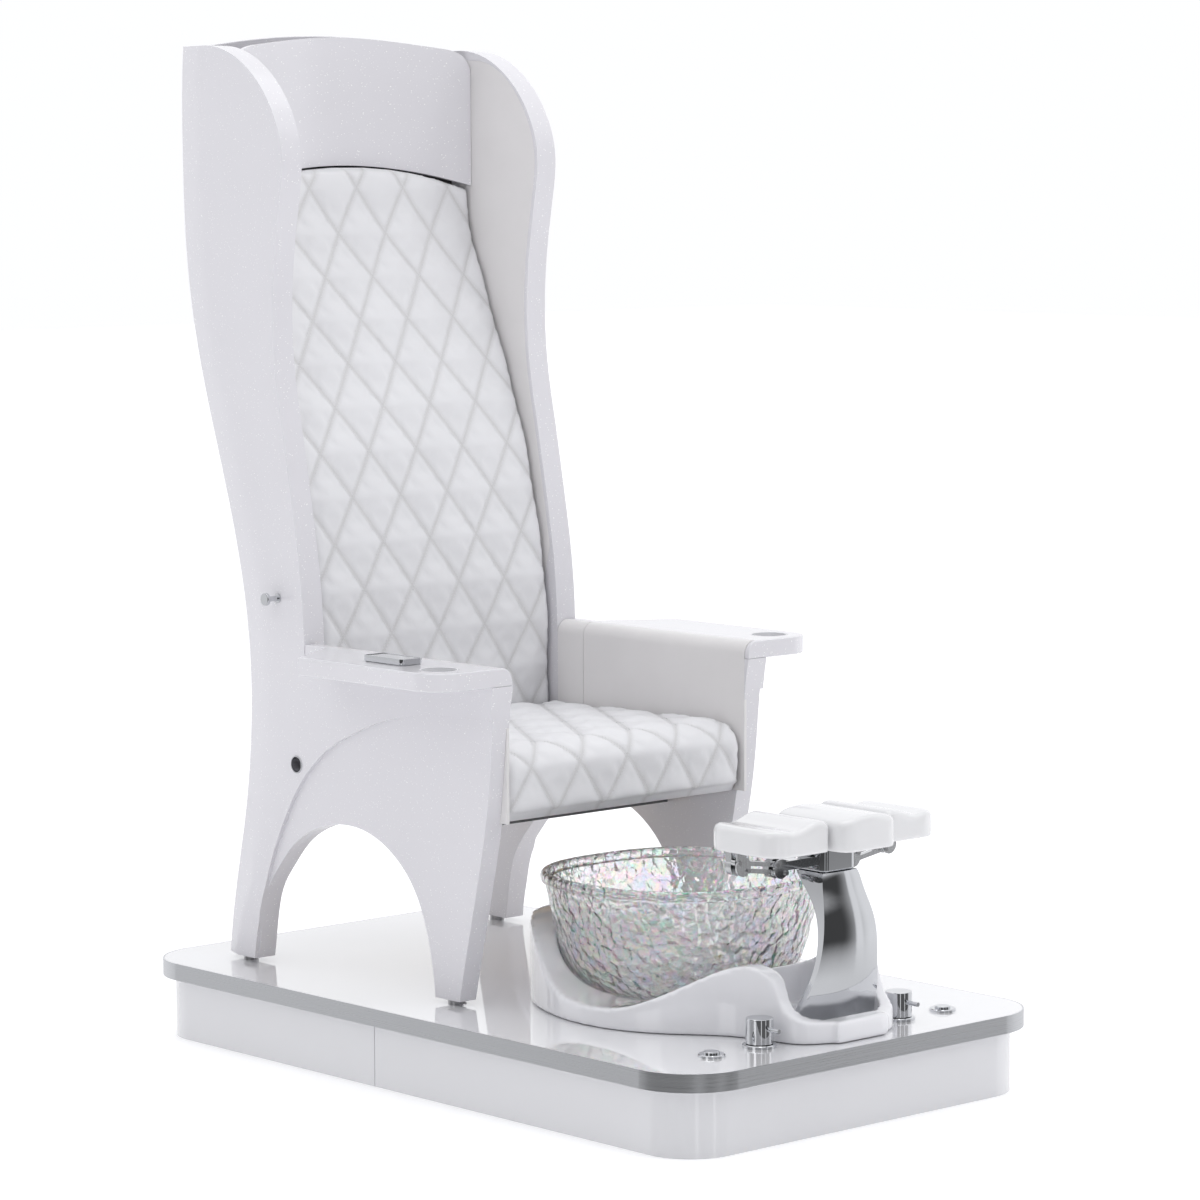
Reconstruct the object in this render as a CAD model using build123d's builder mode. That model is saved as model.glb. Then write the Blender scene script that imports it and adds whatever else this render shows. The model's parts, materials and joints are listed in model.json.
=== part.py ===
"""Pedicure spa chair: a wing-backed chair on a plumbed platform, with a glass foot basin and a
three-pad footrest. Millimetres, +Z up, the sitter faces -Y, the sitter's right hand is at -X.
The origin is the centre of the platform, on the floor."""

import math
import os

from build123d import *

os.makedirs("parts", exist_ok=True)

# Platform
DECK_W = 900
DECK_L = 1530
DECK_R = 118
DECK_T = 32
DECK_Z = 150
TRIM_T = 2
PLINTH_INSET = 24
SKIRT_T = 10
SKIRT_SEAM_Y = 81
TUBE = 30
FOOT_H = 28
FOOT_PAD_R = 17
FOOT_PAD_T = 9
FOOT_STUD_R = 5
FRAME_PLAY = 6
BOLT_R = 7
BOLT_H = 6

# Side shells
INNER_X = 291
OUTER_X = 338
RECESS = 8
BEVEL_IN = 16
BEVEL_BACK = 84
SHELL_FOOT_Z = DECK_Z + 10
LINING_T = 6
WING_TOP_Z = DECK_Z + 1731
SEAT_INNER_X = INNER_X - 1

# Arms
TRAY_TOP_Z = DECK_Z + 622
TRAY_T = 33
TRAY_OUTER_X = 470
TRAY_FRONT_Y = -150
TRAY_CORNER_R = 60
ARM_ROLL_R = 25
CUP_R = 34
CUP_DEPTH = 25
CUP_X = 408
CUP_Y = -86

# Seat and back
SEAT_BOTTOM_Z = DECK_Z + 335
SEAT_TOP_Z = DECK_Z + 478
SEAT_FRONT_Y = -142
SEAT_BACK_Y = 389
BOARD_T = 18
BOARD_Y = 255
BOARD_L = 490
BACK_PAD_T = 62

# Basin
BOWL_Y = -279
BOWL_A = 238
BOWL_B = 231
BOWL_RIM_Z = DECK_Z + 233
BOWL_FLOOR_Z = DECK_Z + 26
GLASS_T = 8
RIM_R = 11
RIM_PROUD = 6.6
RIM_ROUND = 9
PLAN_ROUND = 0.86
GLASS_HOLE_R = 24

# Deck fittings
TAP_X = 172
BUTTON_X = 286
FITTING_Y = -652
EDGE_BREAK = 1.5

# Footrest
HEAD_X = 40
HEAD_Y = -640
HEAD_L = 72
HEAD_R = 12
HEAD_TOP_Z = DECK_Z + 334
PAD_BOTTOM_Z = HEAD_TOP_Z
CENTRE_PAD_X = 66
PAD_GAP = 8
SIDE_PAD_X = 204
LINK_Y = -612
INNER_DISC_X = 89
INNER_DISC_Z = DECK_Z + 295
LINK_RUN = 91
LINK_RISE = 14
PIVOT_DX = 11
PIVOT_DZ = 8
DISC_R = 17
PIN_R = 2.5
RUNNING_GAP = 0.05
POCKET_GAP = 0.2


def save(piece, name):
    """Labels a finished piece and writes its STEP file."""
    piece.part.label = name
    export_step(piece.part, "parts/" + name + ".step")


def above_deck(points):
    """Profile points given with heights above the deck, lifted to heights above the floor."""
    return [(along, DECK_Z + height) for along, height in points]


def save_pair(right, name):
    """Saves a piece of the sitter's right side and its mirror image on the left."""
    save(right, "right_" + name)
    with BuildPart() as left:
        mirror(right.part, about=Plane.YZ)
    save(left, "left_" + name)


# ---------------------------------------------------------------- platform

PLINTH_W = DECK_W - 2 * PLINTH_INSET
PLINTH_L = DECK_L - 2 * PLINTH_INSET
PLINTH_R = DECK_R - PLINTH_INSET
DECK_UNDER_Z = DECK_Z - DECK_T
FRAME_W = PLINTH_W - 2 * SKIRT_T - 2 * FRAME_PLAY
FRAME_L = PLINTH_L - 2 * SKIRT_T - 2 * FRAME_PLAY
CORNER_SET = 62
POST_PLACES = [
    (side * (FRAME_W - TUBE) / 2, along)
    for side in (-1, 1)
    for along in (-FRAME_L / 2 + CORNER_SET, 0, FRAME_L / 2 - CORNER_SET)
]
BOLT_ROWS = (-400, 200, 560)
CROSS_TUBES = (-FRAME_L / 2 + TUBE / 2, -60, 330, FRAME_L / 2 - TUBE / 2)

with BuildPart() as plinth_frame:
    with BuildSketch(Plane.XY.offset(DECK_UNDER_Z - TUBE)):
        with Locations(((FRAME_W - TUBE) / 2, 0), (-(FRAME_W - TUBE) / 2, 0)):
            Rectangle(TUBE, FRAME_L - 2 * CORNER_SET)
        with Locations([(0, along) for along in CROSS_TUBES[1:3]]):
            Rectangle(FRAME_W, TUBE)
        with Locations([(0, along) for along in CROSS_TUBES[::3]]):
            Rectangle(FRAME_W - 2 * CORNER_SET, TUBE)
        for side in (-1, 1):
            for end in (-1, 1):
                with BuildLine():
                    Polyline(
                        (side * FRAME_W / 2, end * (FRAME_L / 2 - CORNER_SET)),
                        (side * (FRAME_W / 2 - CORNER_SET), end * FRAME_L / 2),
                        (side * (FRAME_W / 2 - CORNER_SET), end * (FRAME_L / 2 - TUBE)),
                        (side * (FRAME_W / 2 - TUBE), end * (FRAME_L / 2 - CORNER_SET)),
                        close=True,
                    )
                make_face()
    extrude(amount=TUBE)
    with BuildSketch(Plane.XY.offset(FOOT_H)):
        with Locations(POST_PLACES):
            Rectangle(TUBE, TUBE)
    extrude(amount=DECK_UNDER_Z - FOOT_H)
save(plinth_frame, "plinth_frame")

with BuildPart() as levelling_feet:
    with BuildSketch():
        with Locations(POST_PLACES):
            Circle(FOOT_PAD_R)
    extrude(amount=FOOT_PAD_T)
    with BuildSketch(Plane.XY.offset(FOOT_PAD_T)):
        with Locations(POST_PLACES):
            Circle(FOOT_STUD_R)
    extrude(amount=FOOT_H - FOOT_PAD_T)
save(levelling_feet, "levelling_feet")

DRAIN_PIPE_R = 20
DRAIN_PIPE_Z = 60

for name, low_y, high_y in (
    ("skirt_front", -PLINTH_L, SKIRT_SEAM_Y - 0.6),
    ("skirt_rear", SKIRT_SEAM_Y + 0.6, PLINTH_L),
):
    with BuildPart() as skirt:
        with BuildSketch():
            RectangleRounded(PLINTH_W, PLINTH_L, PLINTH_R)
            RectangleRounded(
                PLINTH_W - 2 * SKIRT_T,
                PLINTH_L - 2 * SKIRT_T,
                PLINTH_R - SKIRT_T,
                mode=Mode.SUBTRACT,
            )
            with Locations((0, (low_y + high_y) / 2)):
                Rectangle(DECK_W, high_y - low_y, mode=Mode.INTERSECT)
        extrude(amount=DECK_UNDER_Z)
        if name == "skirt_rear":
            with BuildSketch(Plane.XZ.offset(-PLINTH_L / 2 - 1)):
                with Locations((0, DRAIN_PIPE_Z)):
                    Circle(DRAIN_PIPE_R + 1)
            extrude(amount=SKIRT_T + 4, mode=Mode.SUBTRACT)
    save(skirt, name)

TAP_PLACES = [(-TAP_X, FITTING_Y), (TAP_X, FITTING_Y)]
BUTTON_PLACES = [(-BUTTON_X, FITTING_Y), (BUTTON_X, FITTING_Y)]
TAP_HOLE_R = 17
BUTTON_HOLE_R = 15
DRAIN_HOLE_R = 26

with BuildPart() as deck_board:
    with BuildSketch(Plane.XY.offset(DECK_UNDER_Z)):
        RectangleRounded(DECK_W - 2 * TRIM_T, DECK_L - 2 * TRIM_T, DECK_R - TRIM_T)
        with Locations(TAP_PLACES):
            Circle(TAP_HOLE_R, mode=Mode.SUBTRACT)
        with Locations(BUTTON_PLACES):
            Circle(BUTTON_HOLE_R, mode=Mode.SUBTRACT)
        with Locations((0, BOWL_Y)):
            Circle(DRAIN_HOLE_R, mode=Mode.SUBTRACT)
    extrude(amount=DECK_T)
save(deck_board, "deck_board")

with BuildPart() as deck_edge_trim:
    with BuildSketch(Plane.XY.offset(DECK_UNDER_Z)):
        RectangleRounded(DECK_W, DECK_L, DECK_R)
        RectangleRounded(
            DECK_W - 2 * TRIM_T, DECK_L - 2 * TRIM_T, DECK_R - TRIM_T, mode=Mode.SUBTRACT
        )
    extrude(amount=DECK_T)
save(deck_edge_trim, "deck_edge_trim")

with BuildPart() as deck_bolts:
    with BuildSketch(Plane.XY.offset(DECK_UNDER_Z - TUBE - BOLT_H)):
        for along in BOLT_ROWS:
            with Locations((-(FRAME_W - TUBE) / 2, along), ((FRAME_W - TUBE) / 2, along)):
                RegularPolygon(BOLT_R, 6)
    extrude(amount=BOLT_H)
save(deck_bolts, "deck_bolts")

# ---------------------------------------------------------------- basin

BOWL_PROFILE = (
    (0, 0.60),
    (12, 0.72),
    (34, 0.815),
    (72, 0.888),
    (127, 0.94),
    (207, 1.0),
)


def bowl_outline(scale, shrink):
    """Half-rounded plan of the bowl at one level: a soft rectangle, nearly an oval."""
    half_a = BOWL_A * scale - shrink
    half_b = BOWL_B * scale - shrink
    RectangleRounded(2 * half_a, 2 * half_b, half_b * PLAN_ROUND)


def bowl_body(shrink, lift):
    """Solid inside the bowl's outer skin, shrunk by the wall and lifted by the floor."""
    with BuildPart() as body:
        for height, scale in BOWL_PROFILE:
            level = BOWL_FLOOR_Z + max(height, lift)
            with BuildSketch(Plane.XY.offset(level)) as section:
                with Locations((0, BOWL_Y)):
                    bowl_outline(scale, shrink)
        loft()
    return body.part


with BuildPart() as glass_bowl:
    add(bowl_body(0, 0))
    with BuildSketch(Plane.XY.offset(BOWL_RIM_Z - RIM_R)):
        with Locations((0, BOWL_Y)):
            bowl_outline(1, -RIM_PROUD)
    extrude(amount=2 * RIM_R)
    fillet(glass_bowl.edges().group_by(Axis.Z)[-1], RIM_ROUND)
    add(bowl_body(GLASS_T, GLASS_T), mode=Mode.SUBTRACT)
    with BuildSketch(Plane.XY.offset(BOWL_RIM_Z - 1)):
        with Locations((0, BOWL_Y)):
            bowl_outline(1, GLASS_T)
    extrude(amount=2 * RIM_R, mode=Mode.SUBTRACT)
    with BuildSketch(Plane.XY.offset(BOWL_FLOOR_Z - 1)):
        with Locations((0, BOWL_Y)):
            Circle(GLASS_HOLE_R)
    extrude(amount=BOWL_RIM_Z - BOWL_FLOOR_Z, mode=Mode.SUBTRACT)
save(glass_bowl, "glass_bowl")

CRADLE_SIDE = [
    (0, 5),
    (150, -38),
    (243, -172),
    (272, -300),
    (258, -400),
    (212, -484),
    (160, -552),
    (136, -620),
]
CRADLE_NOSE = [(126, -668), (104, -704), (60, -728), (0, -736)]
CRADLE_TOP = above_deck(
    [
        (20, 150),
        (-60, 150),
        (-120, 122),
        (-190, 68),
        (-290, 38),
        (-400, 44),
        (-500, 92),
        (-560, 122),
        (-610, 124),
        (-640, 108),
        (-660, 66),
        (-684, 47),
        (-745, 44),
    ]
)
CRADLE_HEIGHT = 180
GASKET_R = 35
GASKET_T = 2
WELL_HALF_W = 100
WELL_BACK_Y = -505
WELL_FRONT_Y = -698
WELL_FLOOR = 24
WELL_R = 45

with BuildPart() as basin_cradle:
    with BuildSketch(Plane.XY.offset(DECK_Z)):
        with BuildLine():
            Spline(*CRADLE_SIDE, *CRADLE_NOSE, tangents=[(1, 0), (-1, 0)])
            mirror(about=Plane.YZ)
        make_face()
    extrude(amount=CRADLE_HEIGHT)
    with BuildSketch(Plane.YZ.offset(-DECK_W / 2)):
        with BuildLine():
            Spline(*CRADLE_TOP)
            Polyline(
                CRADLE_TOP[-1],
                (CRADLE_TOP[-1][0], DECK_Z + CRADLE_HEIGHT + 20),
                (CRADLE_TOP[0][0], DECK_Z + CRADLE_HEIGHT + 20),
                CRADLE_TOP[0],
            )
        make_face()
    extrude(amount=DECK_W, mode=Mode.SUBTRACT)
    with BuildSketch(Plane.XY.offset(DECK_Z + WELL_FLOOR)):
        with Locations((0, (WELL_BACK_Y + WELL_FRONT_Y) / 2)):
            RectangleRounded(2 * WELL_HALF_W, WELL_BACK_Y - WELL_FRONT_Y, WELL_R)
    extrude(amount=CRADLE_HEIGHT, mode=Mode.SUBTRACT)
    add(bowl_body(-1, 0), mode=Mode.SUBTRACT)
    with BuildSketch(Plane.XY.offset(DECK_Z)):
        with Locations((0, BOWL_Y)):
            Circle(DRAIN_HOLE_R)
    extrude(amount=BOWL_FLOOR_Z - DECK_Z + 1, mode=Mode.SUBTRACT)
    with BuildSketch(Plane.XY.offset(BOWL_FLOOR_Z - GASKET_T)):
        with Locations((0, BOWL_Y)):
            Circle(GASKET_R + POCKET_GAP)
    extrude(amount=GASKET_T + 1, mode=Mode.SUBTRACT)
save(basin_cradle, "basin_cradle")

# Drain: the flange clamps the glass through the gasket, its tail screws into the pipe.
FLANGE_Z = BOWL_FLOOR_Z + GLASS_T
TAIL_R = 22
TAIL_BORE_R = 19
TAIL_BOTTOM_Z = DECK_UNDER_Z - 8
FLANGE_R = 34
FLANGE_T = 3
HUB_R = 9
HUB_H = 8
SPOKE_W = 4
STOPPER_R = 23
STOPPER_T = 6
STOPPER_ROUND = 4
STOPPER_STEM_R = 4
STEM_LENGTH = 26

with BuildPart() as drain_flange:
    with BuildSketch(Plane.XY.offset(FLANGE_Z)):
        with Locations((0, BOWL_Y)):
            Circle(FLANGE_R)
            Circle(TAIL_BORE_R, mode=Mode.SUBTRACT)
    extrude(amount=FLANGE_T)
    with BuildSketch(Plane.XY.offset(TAIL_BOTTOM_Z)):
        with Locations((0, BOWL_Y)):
            Circle(TAIL_R)
            Circle(TAIL_BORE_R, mode=Mode.SUBTRACT)
    extrude(amount=FLANGE_Z - TAIL_BOTTOM_Z)
    with BuildSketch(Plane.XY.offset(FLANGE_Z - HUB_H)):
        with Locations((0, BOWL_Y)):
            Circle(HUB_R)
            with PolarLocations(0, 3):
                with Locations((TAIL_R / 2, 0)):
                    Rectangle(TAIL_R, SPOKE_W)
            Circle(STOPPER_STEM_R + RUNNING_GAP, mode=Mode.SUBTRACT)
    extrude(amount=HUB_H)
save(drain_flange, "drain_flange")

with BuildPart() as drain_gasket:
    with BuildSketch(Plane.XY.offset(BOWL_FLOOR_Z - GASKET_T)):
        with Locations((0, BOWL_Y)):
            Circle(GASKET_R)
            Circle(TAIL_R + POCKET_GAP, mode=Mode.SUBTRACT)
    extrude(amount=GASKET_T)
save(drain_gasket, "drain_gasket")

with BuildPart() as drain_stopper:
    with BuildSketch(Plane.XY.offset(FLANGE_Z + FLANGE_T + POCKET_GAP)):
        with Locations((0, BOWL_Y)):
            Circle(STOPPER_R)
    extrude(amount=STOPPER_T)
    fillet(drain_stopper.faces().sort_by(Axis.Z)[-1].edges(), STOPPER_ROUND)
    with BuildSketch(Plane.XY.offset(FLANGE_Z - STEM_LENGTH)):
        with Locations((0, BOWL_Y)):
            Circle(STOPPER_STEM_R)
    extrude(amount=STEM_LENGTH + FLANGE_T + POCKET_GAP)
save(drain_stopper, "drain_stopper")

TRAP_R = 25
PIPE_WALL = 3
PIPE_RUN = PLINTH_L / 2 - BOWL_Y

with BuildPart() as drain_pipe:
    with BuildSketch(Plane.XY.offset(DRAIN_PIPE_Z - TRAP_R)):
        with Locations((0, BOWL_Y)):
            Circle(TRAP_R)
    extrude(amount=TAIL_BOTTOM_Z - DRAIN_PIPE_Z + TRAP_R)
    with BuildSketch(Plane.XZ.offset(-BOWL_Y)):
        with Locations((0, DRAIN_PIPE_Z)):
            Circle(DRAIN_PIPE_R)
    extrude(amount=-PIPE_RUN)
    with BuildSketch(Plane.XY.offset(DRAIN_PIPE_Z - TRAP_R + PIPE_WALL)):
        with Locations((0, BOWL_Y)):
            Circle(TRAP_R - PIPE_WALL)
    extrude(amount=TAIL_BOTTOM_Z - DRAIN_PIPE_Z + TRAP_R, mode=Mode.SUBTRACT)
    with BuildSketch(Plane.XZ.offset(-BOWL_Y)):
        with Locations((0, DRAIN_PIPE_Z)):
            Circle(DRAIN_PIPE_R - PIPE_WALL)
    extrude(amount=-PIPE_RUN - 1, mode=Mode.SUBTRACT)
save(drain_pipe, "drain_pipe")

# Drain pump: hangs from the deck beside the pipe, its impeller spins on a fixed spindle.
PUMP_X = 165
PUMP_Y = 20
PUMP_R = 52
PUMP_FLOOR_Z = 34
PUMP_WALL = 6
PUMP_INLET_R = 12
PUMP_LUG = 28
PUMP_LIP = 4
PUMP_FLANGE_R = 10
SPINDLE_R = 4
IMPELLER_R = 40
IMPELLER_Z = PUMP_FLOOR_Z + 9
IMPELLER_DISC_T = 4
IMPELLER_HUB_R = 9
VANE_H = 34
VANE_T = 3
VANE_TURN = 18
VANE_CLEAR = 6

with BuildPart() as pump_housing:
    with BuildSketch(Plane.XY.offset(PUMP_FLOOR_Z)):
        with Locations((PUMP_X, PUMP_Y)):
            Circle(PUMP_R)
    extrude(amount=DECK_UNDER_Z - PUMP_FLOOR_Z)
    with BuildSketch(Plane.XY.offset(DECK_UNDER_Z - PUMP_WALL)):
        with Locations((PUMP_X, PUMP_Y)):
            RectangleRounded(2 * PUMP_R + PUMP_LUG, 2 * PUMP_R + PUMP_LIP, PUMP_FLANGE_R)
    extrude(amount=PUMP_WALL)
    with BuildSketch(Plane.YZ.offset(DRAIN_PIPE_R)):
        with Locations((PUMP_Y, DRAIN_PIPE_Z)):
            Circle(PUMP_INLET_R)
    extrude(amount=PUMP_X - DRAIN_PIPE_R)
    with BuildSketch(Plane.XY.offset(PUMP_FLOOR_Z + PUMP_WALL)):
        with Locations((PUMP_X, PUMP_Y)):
            Circle(PUMP_R - PUMP_WALL)
            Circle(SPINDLE_R, mode=Mode.SUBTRACT)
    extrude(amount=DECK_UNDER_Z - PUMP_FLOOR_Z - 2 * PUMP_WALL, mode=Mode.SUBTRACT)
save(pump_housing, "pump_housing")

with BuildPart() as pump_impeller:
    with BuildSketch(Plane.XY.offset(IMPELLER_Z)):
        with Locations((PUMP_X, PUMP_Y)):
            Circle(IMPELLER_R)
            Circle(SPINDLE_R + RUNNING_GAP, mode=Mode.SUBTRACT)
    extrude(amount=IMPELLER_DISC_T)
    with BuildSketch(Plane.XY.offset(IMPELLER_Z + IMPELLER_DISC_T)):
        with Locations((PUMP_X, PUMP_Y)):
            Circle(IMPELLER_HUB_R)
            with PolarLocations(0, 6):
                with Locations((IMPELLER_R / 2 + 2, 0)):
                    Rectangle(IMPELLER_R - VANE_CLEAR, VANE_T, rotation=VANE_TURN)
            Circle(SPINDLE_R + RUNNING_GAP, mode=Mode.SUBTRACT)
    extrude(amount=VANE_H)
save(pump_impeller, "pump_impeller")

# ---------------------------------------------------------------- taps and air buttons

TAP_FLANGE_T = 6
TAP_HANDLE_Z = DECK_Z + TAP_FLANGE_T + 1
TAP_HANDLE_H = 44
TAP_R = 24
TAP_CAP_T = 9
TAP_FLANGE_R = 30
TAP_SPINDLE_R = 6
VALVE_DEPTH = 84
VALVE_INLET_R = 10
VALVE_INLET_W = 90
VALVE_INLET_Z = DECK_Z - 64
LEVER_R = 4
LEVER_REACH = 27
LEVER_Z = TAP_HANDLE_Z + 26

with BuildPart() as mixing_valves:
    with BuildSketch(Plane.XY.offset(DECK_Z - VALVE_DEPTH)):
        with Locations(TAP_PLACES):
            Circle(TAP_HOLE_R - POCKET_GAP)
    extrude(amount=VALVE_DEPTH)
    with BuildSketch(Plane.XY.offset(DECK_Z)):
        with Locations(TAP_PLACES):
            Circle(TAP_SPINDLE_R)
    extrude(amount=TAP_HANDLE_Z - DECK_Z + TAP_HANDLE_H - TAP_CAP_T - 1)
    for side in (-1, 1):
        with BuildSketch(Plane.YZ.offset(side * TAP_X - VALVE_INLET_W / 2)):
            with Locations((FITTING_Y, VALVE_INLET_Z)):
                Circle(VALVE_INLET_R)
        extrude(amount=VALVE_INLET_W)
save(mixing_valves, "mixing_valves")

with BuildPart() as tap_flanges:
    with BuildSketch(Plane.XY.offset(DECK_Z)):
        with Locations(TAP_PLACES):
            Circle(TAP_FLANGE_R)
            Circle(TAP_SPINDLE_R + POCKET_GAP, mode=Mode.SUBTRACT)
    extrude(amount=TAP_FLANGE_T)
    chamfer(tap_flanges.edges().group_by(Axis.Z)[-1].sort_by(SortBy.LENGTH)[-2:], EDGE_BREAK)
save(tap_flanges, "tap_flanges")

with BuildPart() as right_tap_handle:
    with BuildSketch(Plane.XY.offset(TAP_HANDLE_Z)):
        with Locations((-TAP_X, FITTING_Y)):
            Circle(TAP_R)
    extrude(amount=TAP_HANDLE_H)
    fillet(right_tap_handle.edges().group_by(Axis.Z)[-1], EDGE_BREAK)
    with BuildSketch(Plane.XZ.offset(-FITTING_Y + TAP_R - 3)):
        with Locations((-TAP_X, LEVER_Z)):
            Circle(LEVER_R)
    extrude(amount=LEVER_REACH)
    with BuildSketch(Plane.XY.offset(TAP_HANDLE_Z)):
        with Locations((-TAP_X, FITTING_Y)):
            Circle(TAP_SPINDLE_R + RUNNING_GAP)
    extrude(amount=TAP_HANDLE_H - TAP_CAP_T, mode=Mode.SUBTRACT)
save_pair(right_tap_handle, "tap_handle")

BUTTON_FLANGE_T = 5
BUTTON_FLANGE_R = 24
BUTTON_R = 14
BUTTON_TRAVEL = 4
BUTTON_PROUD = 4
BELLOWS_DEPTH = 42
BELLOWS_STEM_R = 6

with BuildPart() as air_button_flanges:
    with BuildSketch(Plane.XY.offset(DECK_Z)):
        with Locations(BUTTON_PLACES):
            Circle(BUTTON_FLANGE_R)
            Circle(BUTTON_R + RUNNING_GAP, mode=Mode.SUBTRACT)
    extrude(amount=BUTTON_FLANGE_T)
    chamfer(air_button_flanges.edges().group_by(Axis.Z)[-1].sort_by(SortBy.LENGTH)[-2:], EDGE_BREAK)
    with BuildSketch(Plane.XY.offset(DECK_Z - BELLOWS_DEPTH)):
        with Locations(BUTTON_PLACES):
            Circle(BUTTON_HOLE_R - POCKET_GAP)
            Circle(BELLOWS_STEM_R + RUNNING_GAP, mode=Mode.SUBTRACT)
    extrude(amount=BELLOWS_DEPTH - BUTTON_TRAVEL - 1)
save(air_button_flanges, "air_button_flanges")

with BuildPart() as right_air_button:
    with BuildSketch(Plane.XY.offset(DECK_Z)):
        with Locations((-BUTTON_X, FITTING_Y)):
            Circle(BUTTON_R)
    extrude(amount=BUTTON_FLANGE_T + BUTTON_PROUD)
    fillet(right_air_button.edges().group_by(Axis.Z)[-1], EDGE_BREAK)
    with BuildSketch(Plane.XY.offset(DECK_Z - BELLOWS_DEPTH + 2 * BUTTON_TRAVEL)):
        with Locations((-BUTTON_X, FITTING_Y)):
            Circle(BELLOWS_STEM_R)
    extrude(amount=BELLOWS_DEPTH - 2 * BUTTON_TRAVEL)
save_pair(right_air_button, "air_button")

# ---------------------------------------------------------------- footrest

BLADE_SECTIONS = (
    (24, 94, -671, 12),
    (60, 92, -674, 12),
    (110, 77, -692, 12),
    (150, 69, -699, 13),
    (190, 64, -700, 16),
    (230, 56, -692, 26),
    (262, 49, -682, 46),
    (288, 42, -675, 66),
)
BLADE_BULGE = 0.14

with BuildPart() as footrest_column:
    for height, half_w, edge_y, depth in BLADE_SECTIONS:
        front_y = edge_y - half_w * BLADE_BULGE
        with BuildSketch(Plane.XY.offset(DECK_Z + height)):
            with BuildLine():
                ThreePointArc((-half_w, edge_y), (0, front_y), (half_w, edge_y))
                Line((half_w, edge_y), (half_w - 1, edge_y + depth))
                ThreePointArc(
                    (half_w - 1, edge_y + depth),
                    (0, edge_y + depth - half_w * BLADE_BULGE / 2),
                    (1 - half_w, edge_y + depth),
                )
                Line((1 - half_w, edge_y + depth), (-half_w, edge_y))
            make_face()
    loft()
save(footrest_column, "footrest_column")

HEAD_BOTTOM_Z = DECK_Z + BLADE_SECTIONS[-1][0]

with BuildPart() as column_head:
    with BuildSketch(Plane.XY.offset(HEAD_BOTTOM_Z)):
        with Locations((0, HEAD_Y)):
            RectangleRounded(2 * HEAD_X, HEAD_L, HEAD_R)
    extrude(amount=HEAD_TOP_Z - HEAD_BOTTOM_Z)
save(column_head, "column_head")

PAD_FRONT_Y = -722
PAD_REAR_Y = -548
CENTRE_FRONT_Y = -754
CENTRE_REAR_Y = -575
CENTRE_PAD_R = 24
SIDE_PAD_R = 40
PAD_TOP_R = 11
CENTRE_EDGE_H = 50
CENTRE_TOP = [
    (across, PAD_BOTTOM_Z + height)
    for across, height in ((CENTRE_PAD_X, CENTRE_EDGE_H), (36, 59), (0, 62), (-36, 59))
]
CENTRE_TOP.append((-CENTRE_PAD_X, PAD_BOTTOM_Z + CENTRE_EDGE_H))

with BuildPart() as centre_pad:
    with BuildSketch(Plane.XZ.offset(-CENTRE_REAR_Y)):
        with BuildLine():
            Polyline(
                CENTRE_TOP[-1],
                (-CENTRE_PAD_X, PAD_BOTTOM_Z),
                (CENTRE_PAD_X, PAD_BOTTOM_Z),
                CENTRE_TOP[0],
            )
            Spline(*CENTRE_TOP)
        make_face()
    extrude(amount=CENTRE_REAR_Y - CENTRE_FRONT_Y)
    fillet(centre_pad.edges().filter_by(Axis.Z), CENTRE_PAD_R)
    fillet(centre_pad.faces().sort_by(Axis.Z)[-1].edges(), PAD_TOP_R)
save(centre_pad, "centre_pad")

POCKET_CEILING_Z = PAD_BOTTOM_Z + 28
POCKET_OUTER_X = 198
POCKET_INNER_X = 60
POCKET_L = 54
OUTER_DISC_X = INNER_DISC_X + LINK_RUN
OUTER_DISC_Z = INNER_DISC_Z + LINK_RISE
SIDE_PAD_INNER_X = CENTRE_PAD_X + PAD_GAP
SIDE_TOP = [
    (-across, PAD_BOTTOM_Z + height)
    for across, height in (
        (SIDE_PAD_INNER_X, 53),
        (96, 56),
        (122, 49),
        (150, 43),
        (175, 46),
        (190, 46),
        (SIDE_PAD_X, 42),
    )
]

with BuildPart() as right_pad:
    with BuildSketch(Plane.XZ.offset(-PAD_REAR_Y)):
        with BuildLine():
            Polyline(
                SIDE_TOP[-1],
                (-SIDE_PAD_X, PAD_BOTTOM_Z),
                (-SIDE_PAD_INNER_X, PAD_BOTTOM_Z),
                SIDE_TOP[0],
            )
            Spline(*SIDE_TOP)
        make_face()
    extrude(amount=PAD_REAR_Y - PAD_FRONT_Y)
    fillet(right_pad.edges().filter_by(Axis.Z).sort_by(Axis.X)[:2], SIDE_PAD_R)
    fillet(right_pad.faces().sort_by(Axis.Z)[-1].edges(), PAD_TOP_R)
    with BuildSketch(Plane.XY.offset(PAD_BOTTOM_Z)):
        with Locations((-(POCKET_OUTER_X + POCKET_INNER_X) / 2, LINK_Y + 5)):
            Rectangle(POCKET_OUTER_X - POCKET_INNER_X, POCKET_L)
    extrude(amount=POCKET_CEILING_Z - PAD_BOTTOM_Z, mode=Mode.SUBTRACT)
save_pair(right_pad, "pad")

LINK_T = 10
LINK_GAP = 0.5
PLATE_T = 4
PLATE_Y = LINK_Y - LINK_T / 2 - LINK_GAP - PLATE_T
BLOCK_Y = LINK_Y + LINK_T / 2 + LINK_GAP
BLOCK_T = 15
WEB_REACH_X = 67
NECK_X = OUTER_DISC_X + 4
NECK_W = 22
NECK_FOOT = 28
LINK_EYE_R = 6
LINK_W = 8
SCREW_HEAD_R = 4.2
SCREW_HEAD_T = 3
WEB_H = 16
WEB_LIFT = 4


def pivots(disc_x, disc_z):
    """The two pivot centres of one disc on the sitter's right, upper one first."""
    return [(-disc_x - PIVOT_DX, disc_z + PIVOT_DZ), (-disc_x + PIVOT_DX, disc_z - PIVOT_DZ)]


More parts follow.
